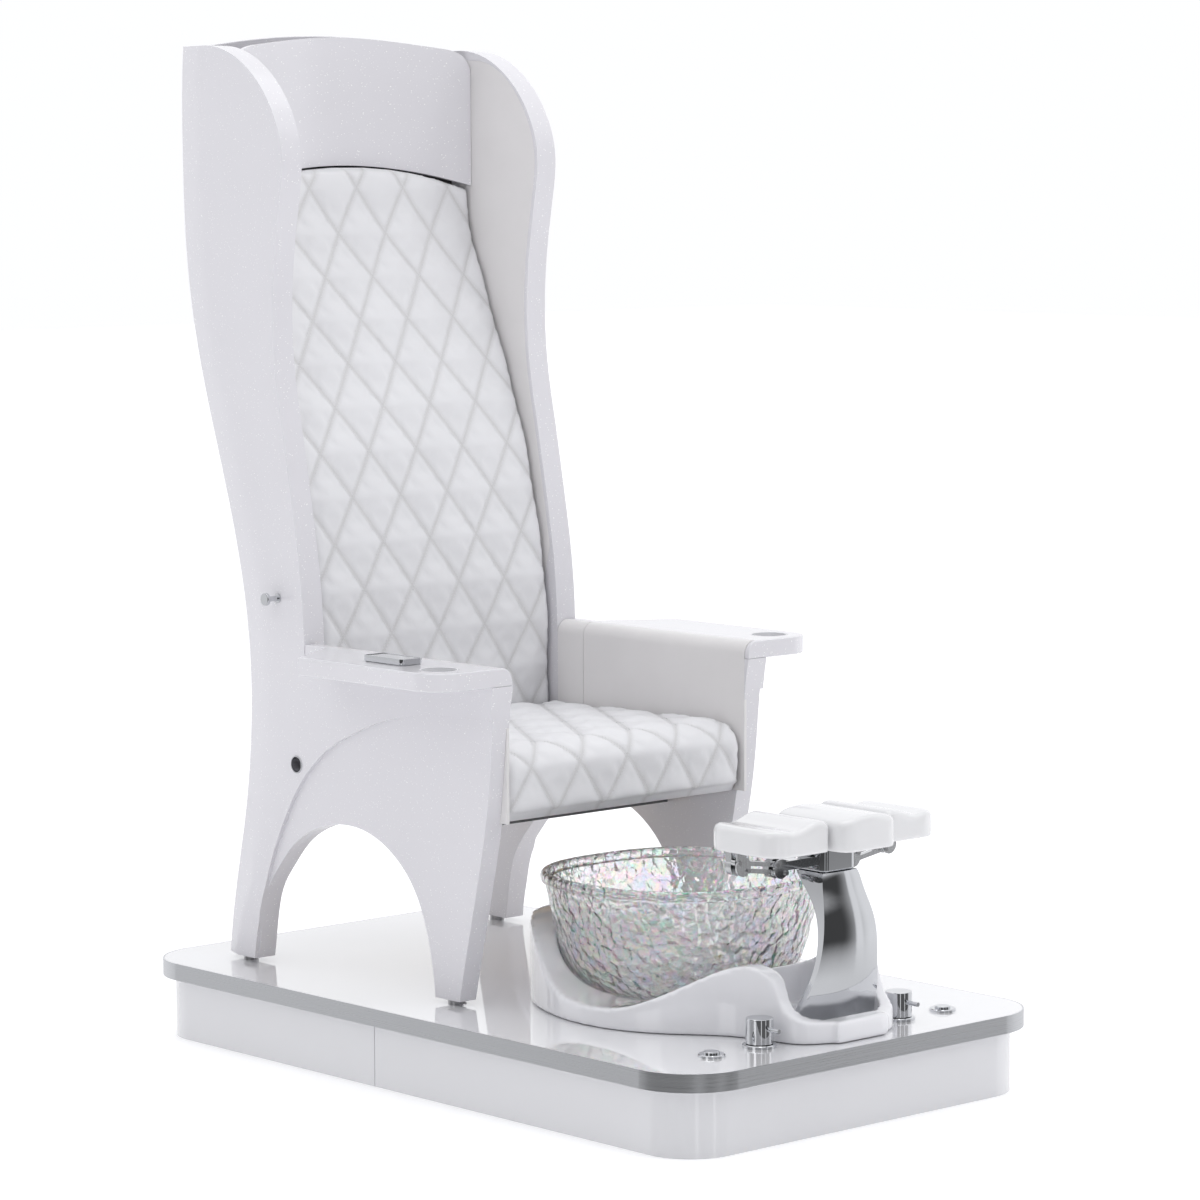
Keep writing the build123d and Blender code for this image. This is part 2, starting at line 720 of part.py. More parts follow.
def clevis_layers():
    """Offsets along -Y and thicknesses of a bracket's front disc and rear block."""
    return ((-PLATE_Y - PLATE_T, PLATE_T), (-BLOCK_Y - BLOCK_T, BLOCK_T))


with BuildPart() as inner_brackets:
    for offset_y, thick in clevis_layers():
        with BuildSketch(Plane.XZ.offset(offset_y)):
            with Locations((-INNER_DISC_X, INNER_DISC_Z)):
                Circle(DISC_R)
            with Locations((-(INNER_DISC_X + HEAD_X) / 2, INNER_DISC_Z + WEB_LIFT)):
                Rectangle(INNER_DISC_X - HEAD_X, WEB_H)
            with Locations(pivots(INNER_DISC_X, INNER_DISC_Z)):
                Circle(PIN_R, mode=Mode.SUBTRACT)
        extrude(amount=thick)
    with BuildSketch(Plane.XZ.offset(-BLOCK_Y - BLOCK_T)):
        with Locations((-(WEB_REACH_X + HEAD_X) / 2, INNER_DISC_Z + WEB_LIFT)):
            Rectangle(WEB_REACH_X - HEAD_X, WEB_H)
    extrude(amount=BLOCK_T + BLOCK_Y - PLATE_Y)
    mirror(about=Plane.YZ)
save(inner_brackets, "inner_brackets")

with BuildPart() as right_outer_bracket:
    for offset_y, thick in clevis_layers():
        with BuildSketch(Plane.XZ.offset(offset_y)):
            with Locations((-OUTER_DISC_X, OUTER_DISC_Z)):
                Circle(DISC_R)
            with Locations((-NECK_X, (OUTER_DISC_Z + POCKET_CEILING_Z) / 2)):
                Rectangle(NECK_W, POCKET_CEILING_Z - OUTER_DISC_Z)
            with Locations(pivots(OUTER_DISC_X, OUTER_DISC_Z)):
                Circle(PIN_R, mode=Mode.SUBTRACT)
        extrude(amount=thick)
    with BuildSketch(Plane.XZ.offset(-BLOCK_Y - BLOCK_T)):
        with Locations((-NECK_X, POCKET_CEILING_Z - NECK_FOOT / 2)):
            Rectangle(NECK_W, NECK_FOOT)
    extrude(amount=BLOCK_T + BLOCK_Y - PLATE_Y)
save_pair(right_outer_bracket, "outer_bracket")

for name, which in (("upper_link", 0), ("lower_link", 1)):
    inner = pivots(INNER_DISC_X, INNER_DISC_Z)[which]
    outer = pivots(OUTER_DISC_X, OUTER_DISC_Z)[which]
    with BuildPart() as right_link:
        with BuildSketch(Plane.XZ.offset(-LINK_Y - LINK_T / 2)):
            with Locations(inner, outer):
                Circle(LINK_EYE_R)
            with BuildLine():
                Line(inner, outer)
            trace(line_width=LINK_W)
            with Locations(inner, outer):
                Circle(PIN_R + RUNNING_GAP, mode=Mode.SUBTRACT)
        extrude(amount=LINK_T)
    save_pair(right_link, name)

SCREW_LENGTH = BLOCK_Y + BLOCK_T - SCREW_HEAD_T - PLATE_Y
INNER_PIVOTS = pivots(INNER_DISC_X, INNER_DISC_Z)
OUTER_PIVOTS = pivots(OUTER_DISC_X, OUTER_DISC_Z)


def screws(places):
    """Cap-head pivot screws entering from the front of a bracket."""
    with BuildPart() as group:
        with BuildSketch(Plane.XZ.offset(-PLATE_Y)):
            with Locations(places):
                Circle(SCREW_HEAD_R)
        extrude(amount=SCREW_HEAD_T)
        with BuildSketch(Plane.XZ.offset(-PLATE_Y - SCREW_LENGTH)):
            with Locations(places):
                Circle(PIN_R)
        extrude(amount=SCREW_LENGTH)
    return group


save(screws(INNER_PIVOTS + [(-across, height) for across, height in INNER_PIVOTS]), "inner_pivot_screws")
save_pair(screws(OUTER_PIVOTS), "pad_screws")

# ---------------------------------------------------------------- side shells

REAR_EDGE = above_deck(
    [
        (641, 10),
        (618, 152),
        (588, 290),
        (570, 430),
        (568, 560),
        (584, 696),
        (620, 842),
        (668, 990),
        (718, 1150),
        (752, 1330),
        (762, 1537),
        (761, 1660),
        (756, 1731),
    ]
)
WING_EDGE = above_deck(
    [
        (662, 1731),
        (600, 1719),
        (540, 1688),
        (468, 1612),
        (438, 1530),
        (446, 1440),
        (464, 1330),
        (470, 1220),
        (460, 1100),
        (442, 1010),
        (418, 885),
        (397, 765),
        (386, 655),
        (384, 589),
    ]
)
FRONT_EDGE = above_deck([(-150, 589), (-141, 530), (-127, 390), (-90, 206), (-44, 10)])
ARCH_EDGE = above_deck(
    [
        (23, 10),
        (36, 91),
        (92, 214),
        (149, 262),
        (223, 291),
        (298, 294),
        (368, 277),
        (428, 244),
        (478, 193),
        (511, 150),
        (530, 90),
        (543, 10),
    ]
)
STEP_EDGE = above_deck(
    [
        (-170, 530),
        (29, 523),
        (152, 502),
        (249, 467),
        (311, 437),
        (365, 397),
        (412, 346),
        (450, 287),
        (479, 232),
        (499, 185),
        (519, 124),
        (534, 72),
        (545, 0),
    ]
)
CUSHION_FACE = above_deck(
    [
        (392, 340),
        (391, 560),
        (394, 660),
        (419, 816),
        (462, 990),
        (521, 1145),
        (577, 1280),
        (615, 1379),
        (630, 1458),
        (634, 1520),
    ]
)
GROMMET_Y = 411
GROMMET_Z = DECK_Z + 395
GROMMET_R = 16.5
ARM_LINING_SEAM_Y = 309
ARM_LINING_FRONT_Y = TRAY_FRONT_Y + 11
ARM_LINING_BACK_Y = 383.5
LINING_LIP = 9
LINING_TUCK = 40
LINING_TOP_Y = 722
LINING_TOP_Z = DECK_Z + 1716


def wing_lining_outline(gap):
    """Inner face of the wing: follows the wing's front edge and runs in behind the cushion."""
    with BuildSketch() as outline:
        with BuildLine():
            top, *middle, bottom = WING_EDGE[1:-2]
            front = Spline(
                (top[0] + LINING_LIP + gap, top[1] - LINING_LIP - gap),
                *[(along + LINING_LIP + gap, height) for along, height in middle],
                (bottom[0] + LINING_LIP + gap, bottom[1] + 3 * gap),
            )
            low, *rest = CUSHION_FACE[2:]
            back = Spline(
                (low[0] + LINING_TUCK - gap, low[1] + 3 * gap),
                *[(along + LINING_TUCK - gap, height) for along, height in rest],
            )
            Polyline(front @ 0, (LINING_TOP_Y - gap, LINING_TOP_Z - gap), back @ 1)
            Line(front @ 1, back @ 0)
        make_face()
    return outline.sketch


ROLL_CENTRE_X = -INNER_X - ARM_ROLL_R
ROLL_CENTRE_Z = TRAY_TOP_Z - ARM_ROLL_R
DIAGONAL = math.sqrt(0.5)


def roll_point(radius, across, up):
    """A point of the arm's rolled edge, at a radius from the roll's centre."""
    return (ROLL_CENTRE_X + radius * across, ROLL_CENTRE_Z + radius * up)


def arm_roll(thick):
    """Section of the panel that lines the arm and rolls over its inner top edge."""
    inner_r = ARM_ROLL_R - thick
    with BuildSketch() as section:
        with BuildLine():
            Line((-INNER_X, SEAT_BOTTOM_Z + 5), roll_point(ARM_ROLL_R, 1, 0))
            ThreePointArc(
                roll_point(ARM_ROLL_R, 1, 0),
                roll_point(ARM_ROLL_R, DIAGONAL, DIAGONAL),
                roll_point(ARM_ROLL_R, 0, 1),
            )
            Line(roll_point(ARM_ROLL_R, 0, 1), roll_point(inner_r, 0, 1))
            ThreePointArc(
                roll_point(inner_r, 0, 1),
                roll_point(inner_r, DIAGONAL, DIAGONAL),
                roll_point(inner_r, 1, 0),
            )
            Polyline(
                roll_point(inner_r, 1, 0),
                (-INNER_X - thick, SEAT_BOTTOM_Z + 5),
                (-INNER_X, SEAT_BOTTOM_Z + 5),
            )
        make_face()
    return section.sketch


def shell_outline(rear_points):
    """Side view of one shell: wing, arm post and both legs, round the leg arch."""
    with BuildSketch() as outline:
        with BuildLine():
            rear = Spline(*rear_points)
            wing = Spline(*WING_EDGE)
            front = Spline(*FRONT_EDGE)
            arch = Spline(*ARCH_EDGE)
            Line(rear @ 1, wing @ 0)
            Line(wing @ 1, front @ 0)
            Line(front @ 1, arch @ 0)
            Line(arch @ 1, rear @ 0)
        make_face()
    return outline.sketch


BEVEL_EDGE = [(along - BEVEL_BACK, height) for along, height in REAR_EDGE]
BEVEL_EDGE[0] = (REAR_EDGE[0][0] - BEVEL_BACK / 2, REAR_EDGE[0][1])
BEVEL_EDGE[1] = (REAR_EDGE[1][0] - BEVEL_BACK * 0.8, REAR_EDGE[1][1])

with BuildPart() as right_side_shell:
    with BuildSketch(Plane.YZ.offset(-OUTER_X + BEVEL_IN)):
        add(shell_outline(REAR_EDGE))
    extrude(amount=OUTER_X - BEVEL_IN - INNER_X)
    with BuildPart(mode=Mode.PRIVATE) as bevelled_layer:
        with BuildSketch(Plane.YZ.offset(-OUTER_X)):
            add(shell_outline(BEVEL_EDGE))
        with BuildSketch(Plane.YZ.offset(-OUTER_X + BEVEL_IN)):
            add(shell_outline(REAR_EDGE))
        loft(ruled=True)
    add(bevelled_layer.part)
    with BuildSketch(Plane.YZ.offset(-OUTER_X - 1)):
        with Locations((GROMMET_Y, GROMMET_Z)):
            Circle(GROMMET_R)
    extrude(amount=OUTER_X - INNER_X + 2, mode=Mode.SUBTRACT)
    with BuildSketch(Plane.YZ.offset(-OUTER_X)):
        with BuildLine():
            step = Spline(*STEP_EDGE)
            Polyline(step @ 1, (TRAY_FRONT_Y - 20, DECK_Z), step @ 0)
        make_face()
    extrude(amount=RECESS, mode=Mode.SUBTRACT)
    with BuildSketch(Plane.YZ.offset(-INNER_X - LINING_T - POCKET_GAP)):
        add(wing_lining_outline(0))
    extrude(amount=LINING_T + 1, mode=Mode.SUBTRACT)
    with BuildSketch(Plane.YZ.offset(-INNER_X - LINING_T - POCKET_GAP)):
        with Locations(((ARM_LINING_FRONT_Y + ARM_LINING_BACK_Y) / 2, SEAT_BOTTOM_Z + 5)):
            Rectangle(
                ARM_LINING_BACK_Y - ARM_LINING_FRONT_Y,
                TRAY_TOP_Z - SEAT_BOTTOM_Z,
                align=(Align.CENTER, Align.MIN),
            )
    extrude(amount=LINING_T + 1, mode=Mode.SUBTRACT)
save_pair(right_side_shell, "side_shell")

with BuildPart() as right_wing_lining:
    with BuildSketch(Plane.YZ.offset(-INNER_X - LINING_T)):
        add(wing_lining_outline(POCKET_GAP))
    extrude(amount=LINING_T)
save_pair(right_wing_lining, "wing_lining")

for name, low_y, high_y in (
    ("arm_lining_front", ARM_LINING_FRONT_Y + POCKET_GAP, ARM_LINING_SEAM_Y - 0.6),
    ("arm_lining_rear", ARM_LINING_SEAM_Y + 0.6, ARM_LINING_BACK_Y - POCKET_GAP),
):
    with BuildPart() as right_lining:
        with BuildSketch(Plane.XZ.offset(-high_y)):
            add(arm_roll(LINING_T))
        extrude(amount=high_y - low_y)
    save_pair(right_lining, name)

# ---------------------------------------------------------------- seat, back and arms

with BuildPart() as seat_board:
    with BuildSketch(Plane.XY.offset(SEAT_BOTTOM_Z - BOARD_T)):
        with Locations((0, BOARD_Y)):
            Rectangle(2 * SEAT_INNER_X, BOARD_L)
    extrude(amount=BOARD_T - POCKET_GAP)
save(seat_board, "seat_board")

RAIL_H = 20
RAIL_W = 40
RAIL_PLACES = ((0, 90), (0, 430))

with BuildPart() as seat_rails:
    with BuildSketch(Plane.XY.offset(SEAT_BOTTOM_Z - BOARD_T - RAIL_H)):
        with Locations(*RAIL_PLACES):
            Rectangle(2 * INNER_X, RAIL_W)
    extrude(amount=RAIL_H)
save(seat_rails, "seat_rails")

with BuildPart() as seat_cushion:
    with BuildSketch(Plane.YZ.offset(-SEAT_INNER_X)):
        with BuildLine():
            Polyline(
                (SEAT_FRONT_Y + 60, SEAT_TOP_Z),
                (SEAT_BACK_Y, SEAT_TOP_Z - 8),
                (SEAT_BACK_Y, SEAT_BOTTOM_Z),
                (SEAT_FRONT_Y + 16, SEAT_BOTTOM_Z),
            )
            TangentArc(
                (SEAT_FRONT_Y + 16, SEAT_BOTTOM_Z),
                (SEAT_FRONT_Y, SEAT_BOTTOM_Z + 16),
                tangent=(-1, 0),
            )
            Line((SEAT_FRONT_Y, SEAT_BOTTOM_Z + 16), (SEAT_FRONT_Y, SEAT_TOP_Z - 60))
            TangentArc(
                (SEAT_FRONT_Y, SEAT_TOP_Z - 60),
                (SEAT_FRONT_Y + 60, SEAT_TOP_Z),
                tangent=(0, 1),
            )
        make_face()
    extrude(amount=2 * SEAT_INNER_X)
save(seat_cushion, "seat_cushion")

ARCH_CROWN_Z = DECK_Z + 1504
ARCH_SIDE_Z = DECK_Z + 1464
PANEL_GAP = 2
CUT_FROM_Y = 800
CUT_L = 600


def between_faces(near, far, half_w):
    """Slab between the shells whose front and rear follow the cushion's face."""
    with BuildPart() as slab:
        with BuildSketch(Plane.YZ.offset(-half_w)):
            with BuildLine():
                face = Spline(*[(along + near, height) for along, height in CUSHION_FACE])
                rear = Spline(*[(along + far, height) for along, height in CUSHION_FACE])
                Line(face @ 0, rear @ 0)
                Line(face @ 1, rear @ 1)
            make_face()
        extrude(amount=2 * half_w)
    return slab.part


with BuildPart() as back_cushion:
    add(between_faces(0, BACK_PAD_T, SEAT_INNER_X))
    with BuildSketch(Plane.XZ.offset(-CUT_FROM_Y)):
        with BuildLine():
            ThreePointArc(
                (-SEAT_INNER_X, ARCH_SIDE_Z), (0, ARCH_CROWN_Z), (SEAT_INNER_X, ARCH_SIDE_Z)
            )
            Polyline(
                (SEAT_INNER_X, ARCH_SIDE_Z),
                (SEAT_INNER_X, SEAT_BOTTOM_Z),
                (-SEAT_INNER_X, SEAT_BOTTOM_Z),
                (-SEAT_INNER_X, ARCH_SIDE_Z),
            )
        make_face()
    extrude(amount=CUT_L, mode=Mode.INTERSECT)
save(back_cushion, "back_cushion")

with BuildPart() as back_board:
    add(between_faces(BACK_PAD_T + POCKET_GAP, BACK_PAD_T + BOARD_T, SEAT_INNER_X))
save(back_board, "back_board")

HEAD_EDGE_Y = 634
HEAD_SCOOP = 40
HEAD_T = 14
HEAD_FOOT_Z = DECK_Z + 1440
HEAD_BLANK_H = 330
HEAD_OUTLINE = above_deck(
    [
        (SEAT_INNER_X, 1690),
        (274, 1719),
        (220, 1735),
        (0, 1752),
        (-220, 1735),
        (-274, 1719),
        (-SEAT_INNER_X, 1690),
    ]
)

with BuildPart() as headrest_panel:
    with BuildSketch(Plane.XY.offset(HEAD_FOOT_Z)):
        with BuildLine():
            ThreePointArc(
                (-SEAT_INNER_X, HEAD_EDGE_Y),
                (0, HEAD_EDGE_Y + HEAD_SCOOP),
                (SEAT_INNER_X, HEAD_EDGE_Y),
            )
            Line((SEAT_INNER_X, HEAD_EDGE_Y), (SEAT_INNER_X, HEAD_EDGE_Y + HEAD_T))
            ThreePointArc(
                (SEAT_INNER_X, HEAD_EDGE_Y + HEAD_T),
                (0, HEAD_EDGE_Y + HEAD_SCOOP + HEAD_T),
                (-SEAT_INNER_X, HEAD_EDGE_Y + HEAD_T),
            )
            Line((-SEAT_INNER_X, HEAD_EDGE_Y + HEAD_T), (-SEAT_INNER_X, HEAD_EDGE_Y))
        make_face()
    extrude(amount=HEAD_BLANK_H)
    with BuildSketch(Plane.XZ.offset(-CUT_FROM_Y)):
        with BuildLine():
            ThreePointArc(
                (-SEAT_INNER_X, ARCH_SIDE_Z + PANEL_GAP),
                (0, ARCH_CROWN_Z + PANEL_GAP),
                (SEAT_INNER_X, ARCH_SIDE_Z + PANEL_GAP),
            )
            Line((SEAT_INNER_X, ARCH_SIDE_Z + PANEL_GAP), HEAD_OUTLINE[0])
            Spline(*HEAD_OUTLINE)
            Line(HEAD_OUTLINE[-1], (-SEAT_INNER_X, ARCH_SIDE_Z + PANEL_GAP))
        make_face()
    extrude(amount=CUT_L, mode=Mode.INTERSECT)
save(headrest_panel, "headrest_panel")

SHELL_SKIN = 8
SKIN_INSET = 12

with BuildPart() as back_shell:
    with BuildSketch(Plane.YZ.offset(-SEAT_INNER_X)):
        with BuildLine():
            skin = Spline(*[(along - SKIN_INSET, height) for along, height in REAR_EDGE[3:]])
            inside = Spline(
                *[(along - SKIN_INSET - SHELL_SKIN, height) for along, height in REAR_EDGE[3:]]
            )
            Polyline(
                skin @ 1,
                skin @ 1 + Vector(-1, 30),
                inside @ 1 + Vector(-1, 30),
                inside @ 1,
            )
            Line(skin @ 0, inside @ 0)
        make_face()
    extrude(amount=2 * SEAT_INNER_X)
    with BuildSketch(Plane.XZ.offset(-CUT_FROM_Y)):
        with BuildLine():
            ThreePointArc(
                (-SEAT_INNER_X, WING_TOP_Z), (0, WING_TOP_Z + 25), (SEAT_INNER_X, WING_TOP_Z)
            )
            Polyline(
                (SEAT_INNER_X, WING_TOP_Z),
                (SEAT_INNER_X, DECK_Z),
                (-SEAT_INNER_X, DECK_Z),
                (-SEAT_INNER_X, WING_TOP_Z),
            )
        make_face()
    extrude(amount=CUT_L, mode=Mode.INTERSECT)
save(back_shell, "back_shell")

TRAY_REAR_OUTER_Y = 235
TRAY_REAR_INNER_Y = 322
TRAY_BACK_Y = 383

with BuildPart() as right_arm_tray:
    with BuildSketch(Plane.XY.offset(TRAY_TOP_Z - TRAY_T)):
        with BuildLine():
            Polyline(
                (-INNER_X, TRAY_FRONT_Y),
                (-INNER_X, TRAY_BACK_Y),
                (-OUTER_X - 0.3, TRAY_BACK_Y),
                (-OUTER_X - 0.3, TRAY_REAR_INNER_Y),
                (-TRAY_OUTER_X, TRAY_REAR_OUTER_Y),
                (-TRAY_OUTER_X, TRAY_FRONT_Y + TRAY_CORNER_R),
            )
            TangentArc(
                (-TRAY_OUTER_X, TRAY_FRONT_Y + TRAY_CORNER_R),
                (-TRAY_OUTER_X + TRAY_CORNER_R, TRAY_FRONT_Y),
                tangent=(0, -1),
            )
            Line((-TRAY_OUTER_X + TRAY_CORNER_R, TRAY_FRONT_Y), (-INNER_X, TRAY_FRONT_Y))
        make_face()
    extrude(amount=TRAY_T)
    rolled_edge = (
        right_arm_tray.edges()
        .filter_by(Axis.Y)
        .group_by(Axis.Z)[-1]
        .sort_by(Axis.X)[-1]
    )
    fillet(rolled_edge, ARM_ROLL_R)
    with BuildSketch(Plane.XZ.offset(-TRAY_BACK_Y - 1)):
        add(arm_roll(LINING_T + POCKET_GAP))
    extrude(amount=TRAY_BACK_Y + 1 - ARM_LINING_FRONT_Y, mode=Mode.SUBTRACT)
    with BuildSketch(Plane.XY.offset(TRAY_TOP_Z - CUP_DEPTH)):
        with Locations((-CUP_X, CUP_Y)):
            Circle(CUP_R)
    extrude(amount=CUP_DEPTH, mode=Mode.SUBTRACT)
save_pair(right_arm_tray, "arm_tray")

LINER_T = 2

with BuildPart() as cup_liners:
    with BuildSketch(Plane.XY.offset(TRAY_TOP_Z - CUP_DEPTH)):
        with Locations((-CUP_X, CUP_Y), (CUP_X, CUP_Y)):
            Circle(CUP_R)
    extrude(amount=CUP_DEPTH)
    with BuildSketch(Plane.XY.offset(TRAY_TOP_Z - CUP_DEPTH + LINER_T)):
        with Locations((-CUP_X, CUP_Y), (CUP_X, CUP_Y)):
            Circle(CUP_R - LINER_T)
    extrude(amount=CUP_DEPTH, mode=Mode.SUBTRACT)
save(cup_liners, "cup_liners")

REMOTE_X = -401
REMOTE_Y = 50
REMOTE_W = 50
REMOTE_L = 112
REMOTE_T = 12
FRAME_T = 2.5
REMOTE_R = 8
REMOTE_LIFT = 2

with BuildPart() as remote_frame:
    with BuildSketch(Plane.XY.offset(TRAY_TOP_Z + REMOTE_LIFT)):
        with Locations((REMOTE_X, REMOTE_Y)):
            RectangleRounded(REMOTE_W, REMOTE_L, REMOTE_R)
            RectangleRounded(
                REMOTE_W - 2 * FRAME_T,
                REMOTE_L - 2 * FRAME_T,
                REMOTE_R - FRAME_T,
                mode=Mode.SUBTRACT,
            )
    extrude(amount=REMOTE_T - REMOTE_LIFT)
save(remote_frame, "remote_frame")

with BuildPart() as remote_body:
    with BuildSketch(Plane.XY.offset(TRAY_TOP_Z)):
        with Locations((REMOTE_X, REMOTE_Y)):
            RectangleRounded(REMOTE_W - 2 * FRAME_T, REMOTE_L - 2 * FRAME_T, REMOTE_R - FRAME_T)
    extrude(amount=REMOTE_T - 1)
save(remote_body, "remote_body")

HOOK_Y = 462
HOOK_Z = DECK_Z + 703
HOOK_REACH = 33
HOOK_STEM_R = 5
HOOK_KNOB_R = 12
HOOK_KNOB_T = 6
HOOK_BASE_R = 9
HOOK_BASE_T = 3

with BuildPart() as bag_hook:
    with BuildSketch(Plane.YZ.offset(-OUTER_X - HOOK_REACH)):
        with Locations((HOOK_Y, HOOK_Z)):
            Circle(HOOK_STEM_R)
    extrude(amount=HOOK_REACH)
    with BuildSketch(Plane.YZ.offset(-OUTER_X - HOOK_REACH)):
        with Locations((HOOK_Y, HOOK_Z)):
            Circle(HOOK_KNOB_R)
    extrude(amount=HOOK_KNOB_T)
    fillet(bag_hook.edges().group_by(Axis.X)[0], EDGE_BREAK)
    with BuildSketch(Plane.YZ.offset(-OUTER_X - HOOK_BASE_T)):
        with Locations((HOOK_Y, HOOK_Z)):
            Circle(HOOK_BASE_R)
    extrude(amount=HOOK_BASE_T)
save(bag_hook, "bag_hook")

GROMMET_WALL = 2
GROMMET_PROUD = 1.5
GROMMET_L = 20

with BuildPart() as side_grommets:
    with BuildSketch(Plane.YZ.offset(-OUTER_X - GROMMET_PROUD)):
        with Locations((GROMMET_Y, GROMMET_Z)):
            Circle(GROMMET_R)
            Circle(GROMMET_R - GROMMET_WALL, mode=Mode.SUBTRACT)
    extrude(amount=GROMMET_L)
    mirror(about=Plane.YZ)
save(side_grommets, "side_grommets")

LEG_CENTRE_X = (INNER_X + OUTER_X - RECESS) / 2
FOOT_PLACES = [(side * LEG_CENTRE_X, along) for side in (-1, 1) for along in (-11, 592)]
LEG_FOOT_R = 14
CLIP_R = 2.5
CLIP_Y = -38
CLIP_L = 20
CLIP_LIFT = 5

with BuildPart() as leg_feet:
    with BuildSketch(Plane.XY.offset(DECK_Z)):
        with Locations(FOOT_PLACES):
            Circle(LEG_FOOT_R)
    extrude(amount=SHELL_FOOT_Z - DECK_Z)
    with BuildSketch(Plane.XZ.offset(-CLIP_Y)):
        with Locations([(side * LEG_CENTRE_X, DECK_Z + CLIP_LIFT) for side in (-1, 1)]):
            Circle(CLIP_R)
    extrude(amount=-CLIP_L)
save(leg_feet, "leg_feet")
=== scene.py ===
"""Pedicure spa chair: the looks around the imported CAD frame, in metres and in the same frame."""

import json
import math

import bmesh
import bpy
import numpy as np
from mathutils import Matrix, Vector, noise
from mathutils.bvhtree import BVHTree


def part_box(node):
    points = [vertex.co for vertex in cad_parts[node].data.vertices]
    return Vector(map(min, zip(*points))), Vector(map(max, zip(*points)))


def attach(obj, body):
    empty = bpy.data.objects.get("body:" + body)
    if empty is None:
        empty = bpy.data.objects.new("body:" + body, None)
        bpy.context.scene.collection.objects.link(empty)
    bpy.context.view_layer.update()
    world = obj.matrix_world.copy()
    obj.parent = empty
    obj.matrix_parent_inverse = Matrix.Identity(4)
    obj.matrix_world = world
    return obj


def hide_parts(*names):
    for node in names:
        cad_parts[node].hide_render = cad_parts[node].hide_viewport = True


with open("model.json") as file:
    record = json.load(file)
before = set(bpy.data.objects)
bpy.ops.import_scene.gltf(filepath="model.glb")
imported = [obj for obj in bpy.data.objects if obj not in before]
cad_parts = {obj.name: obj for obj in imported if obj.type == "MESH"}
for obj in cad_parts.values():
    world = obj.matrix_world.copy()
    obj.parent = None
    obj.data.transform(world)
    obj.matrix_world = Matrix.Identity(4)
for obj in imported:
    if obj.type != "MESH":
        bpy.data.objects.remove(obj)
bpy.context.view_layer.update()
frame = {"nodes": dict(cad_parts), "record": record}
NODES = frame["nodes"]
RECORD = frame["record"]
SLOT_OF = {part["node"]: part["material_slot"] for part in RECORD["subparts"]}
BODY_OF = {
    node: body for body, nodes in RECORD["behaviour"]["bodies"].items() for node in nodes
}

# ------------------------------------------------------------------ camera, floor and light

CAMERA_AT = Vector((-5.170, -5.744, 1.656))
CAMERA_LOOKS = Vector((0.6693, 0.7359, -0.1025))
CAMERA_ROLL = math.radians(-0.17)
LENS_MM = 126.7
SENSOR_MM = 36.0
FURTHEST_SEEN = 200.0
FLOOR_SIZE = 60.0
FLOOR_GLOW = 0.26

# Brightness of each side of the room, and the level direction that the camera looks in.
FLOOR_SHINE = 0.85
WALL_FRONT = 0.07
WALL_BACK = 1.02
PANEL_LIGHT = 0.9
PANEL_WAVES = 10.0
CEILING = 1.05
ROOM_TINT = (0.975, 0.98, 1.0, 1)
AHEAD_X, AHEAD_Y = 0.67, 0.74


def add_node(tree, kind, links=(), **values):
    """A new shader node with its properties set, and its inputs linked or given a value."""
    made = tree.nodes.new("ShaderNode" + kind)
    for key, value in values.items():
        setattr(made, key, value)
    for socket, source in dict(links).items():
        if isinstance(source, bpy.types.NodeSocket):
            tree.links.new(source, made.inputs[socket])
        else:
            made.inputs[socket].default_value = source
    return made


def add_camera():
    """Camera at the viewing angle of the photograph."""
    data = bpy.data.cameras.new("camera")
    data.lens = LENS_MM
    data.sensor_width = SENSOR_MM
    data.clip_end = FURTHEST_SEEN
    camera = bpy.data.objects.new("camera", data)
    turn = CAMERA_LOOKS.to_track_quat("-Z", "Y").to_matrix()
    turn = turn @ Matrix.Rotation(CAMERA_ROLL, 3, "Z")
    camera.matrix_world = Matrix.Translation(CAMERA_AT) @ turn.to_4x4()
    bpy.context.scene.collection.objects.link(camera)
    bpy.context.scene.camera = camera


def add_area_light(name, place, target, size, power, mirrored=True):
    """One soft light that shines from place to target. Gloss shows it only if it is mirrored."""
    data = bpy.data.lights.new(name, "AREA")
    data.shape = "RECTANGLE"
    data.size, data.size_y = size
    data.energy = power
    light = bpy.data.objects.new(name, data)
    away = Vector(target) - Vector(place)
    turn = away.to_track_quat("-Z", "Y").to_matrix()
    light.matrix_world = Matrix.Translation(place) @ turn.to_4x4()
    light.visible_glossy = mirrored
    bpy.context.scene.collection.objects.link(light)


def add_studio():
    """Soft light from above, a key on the right of the view and a weaker fill on its left."""
    add_area_light("light_top", (0.3, 0.2, 4.6), (0, 0.1, 0.6), (3.4, 3.4), 30)
    add_area_light("light_key", (2.6, -4.2, 2.9), (0.1, 0.1, 0.8), (2.0, 2.6), 34, mirrored=False)
    add_area_light("light_fill", (-4.6, -1.2, 2.2), (0, 0.1, 0.9), (1.6, 3.2), 18)
    bpy.context.scene.world = studio_walls()
    bpy.context.scene.view_settings.view_transform = "Standard"


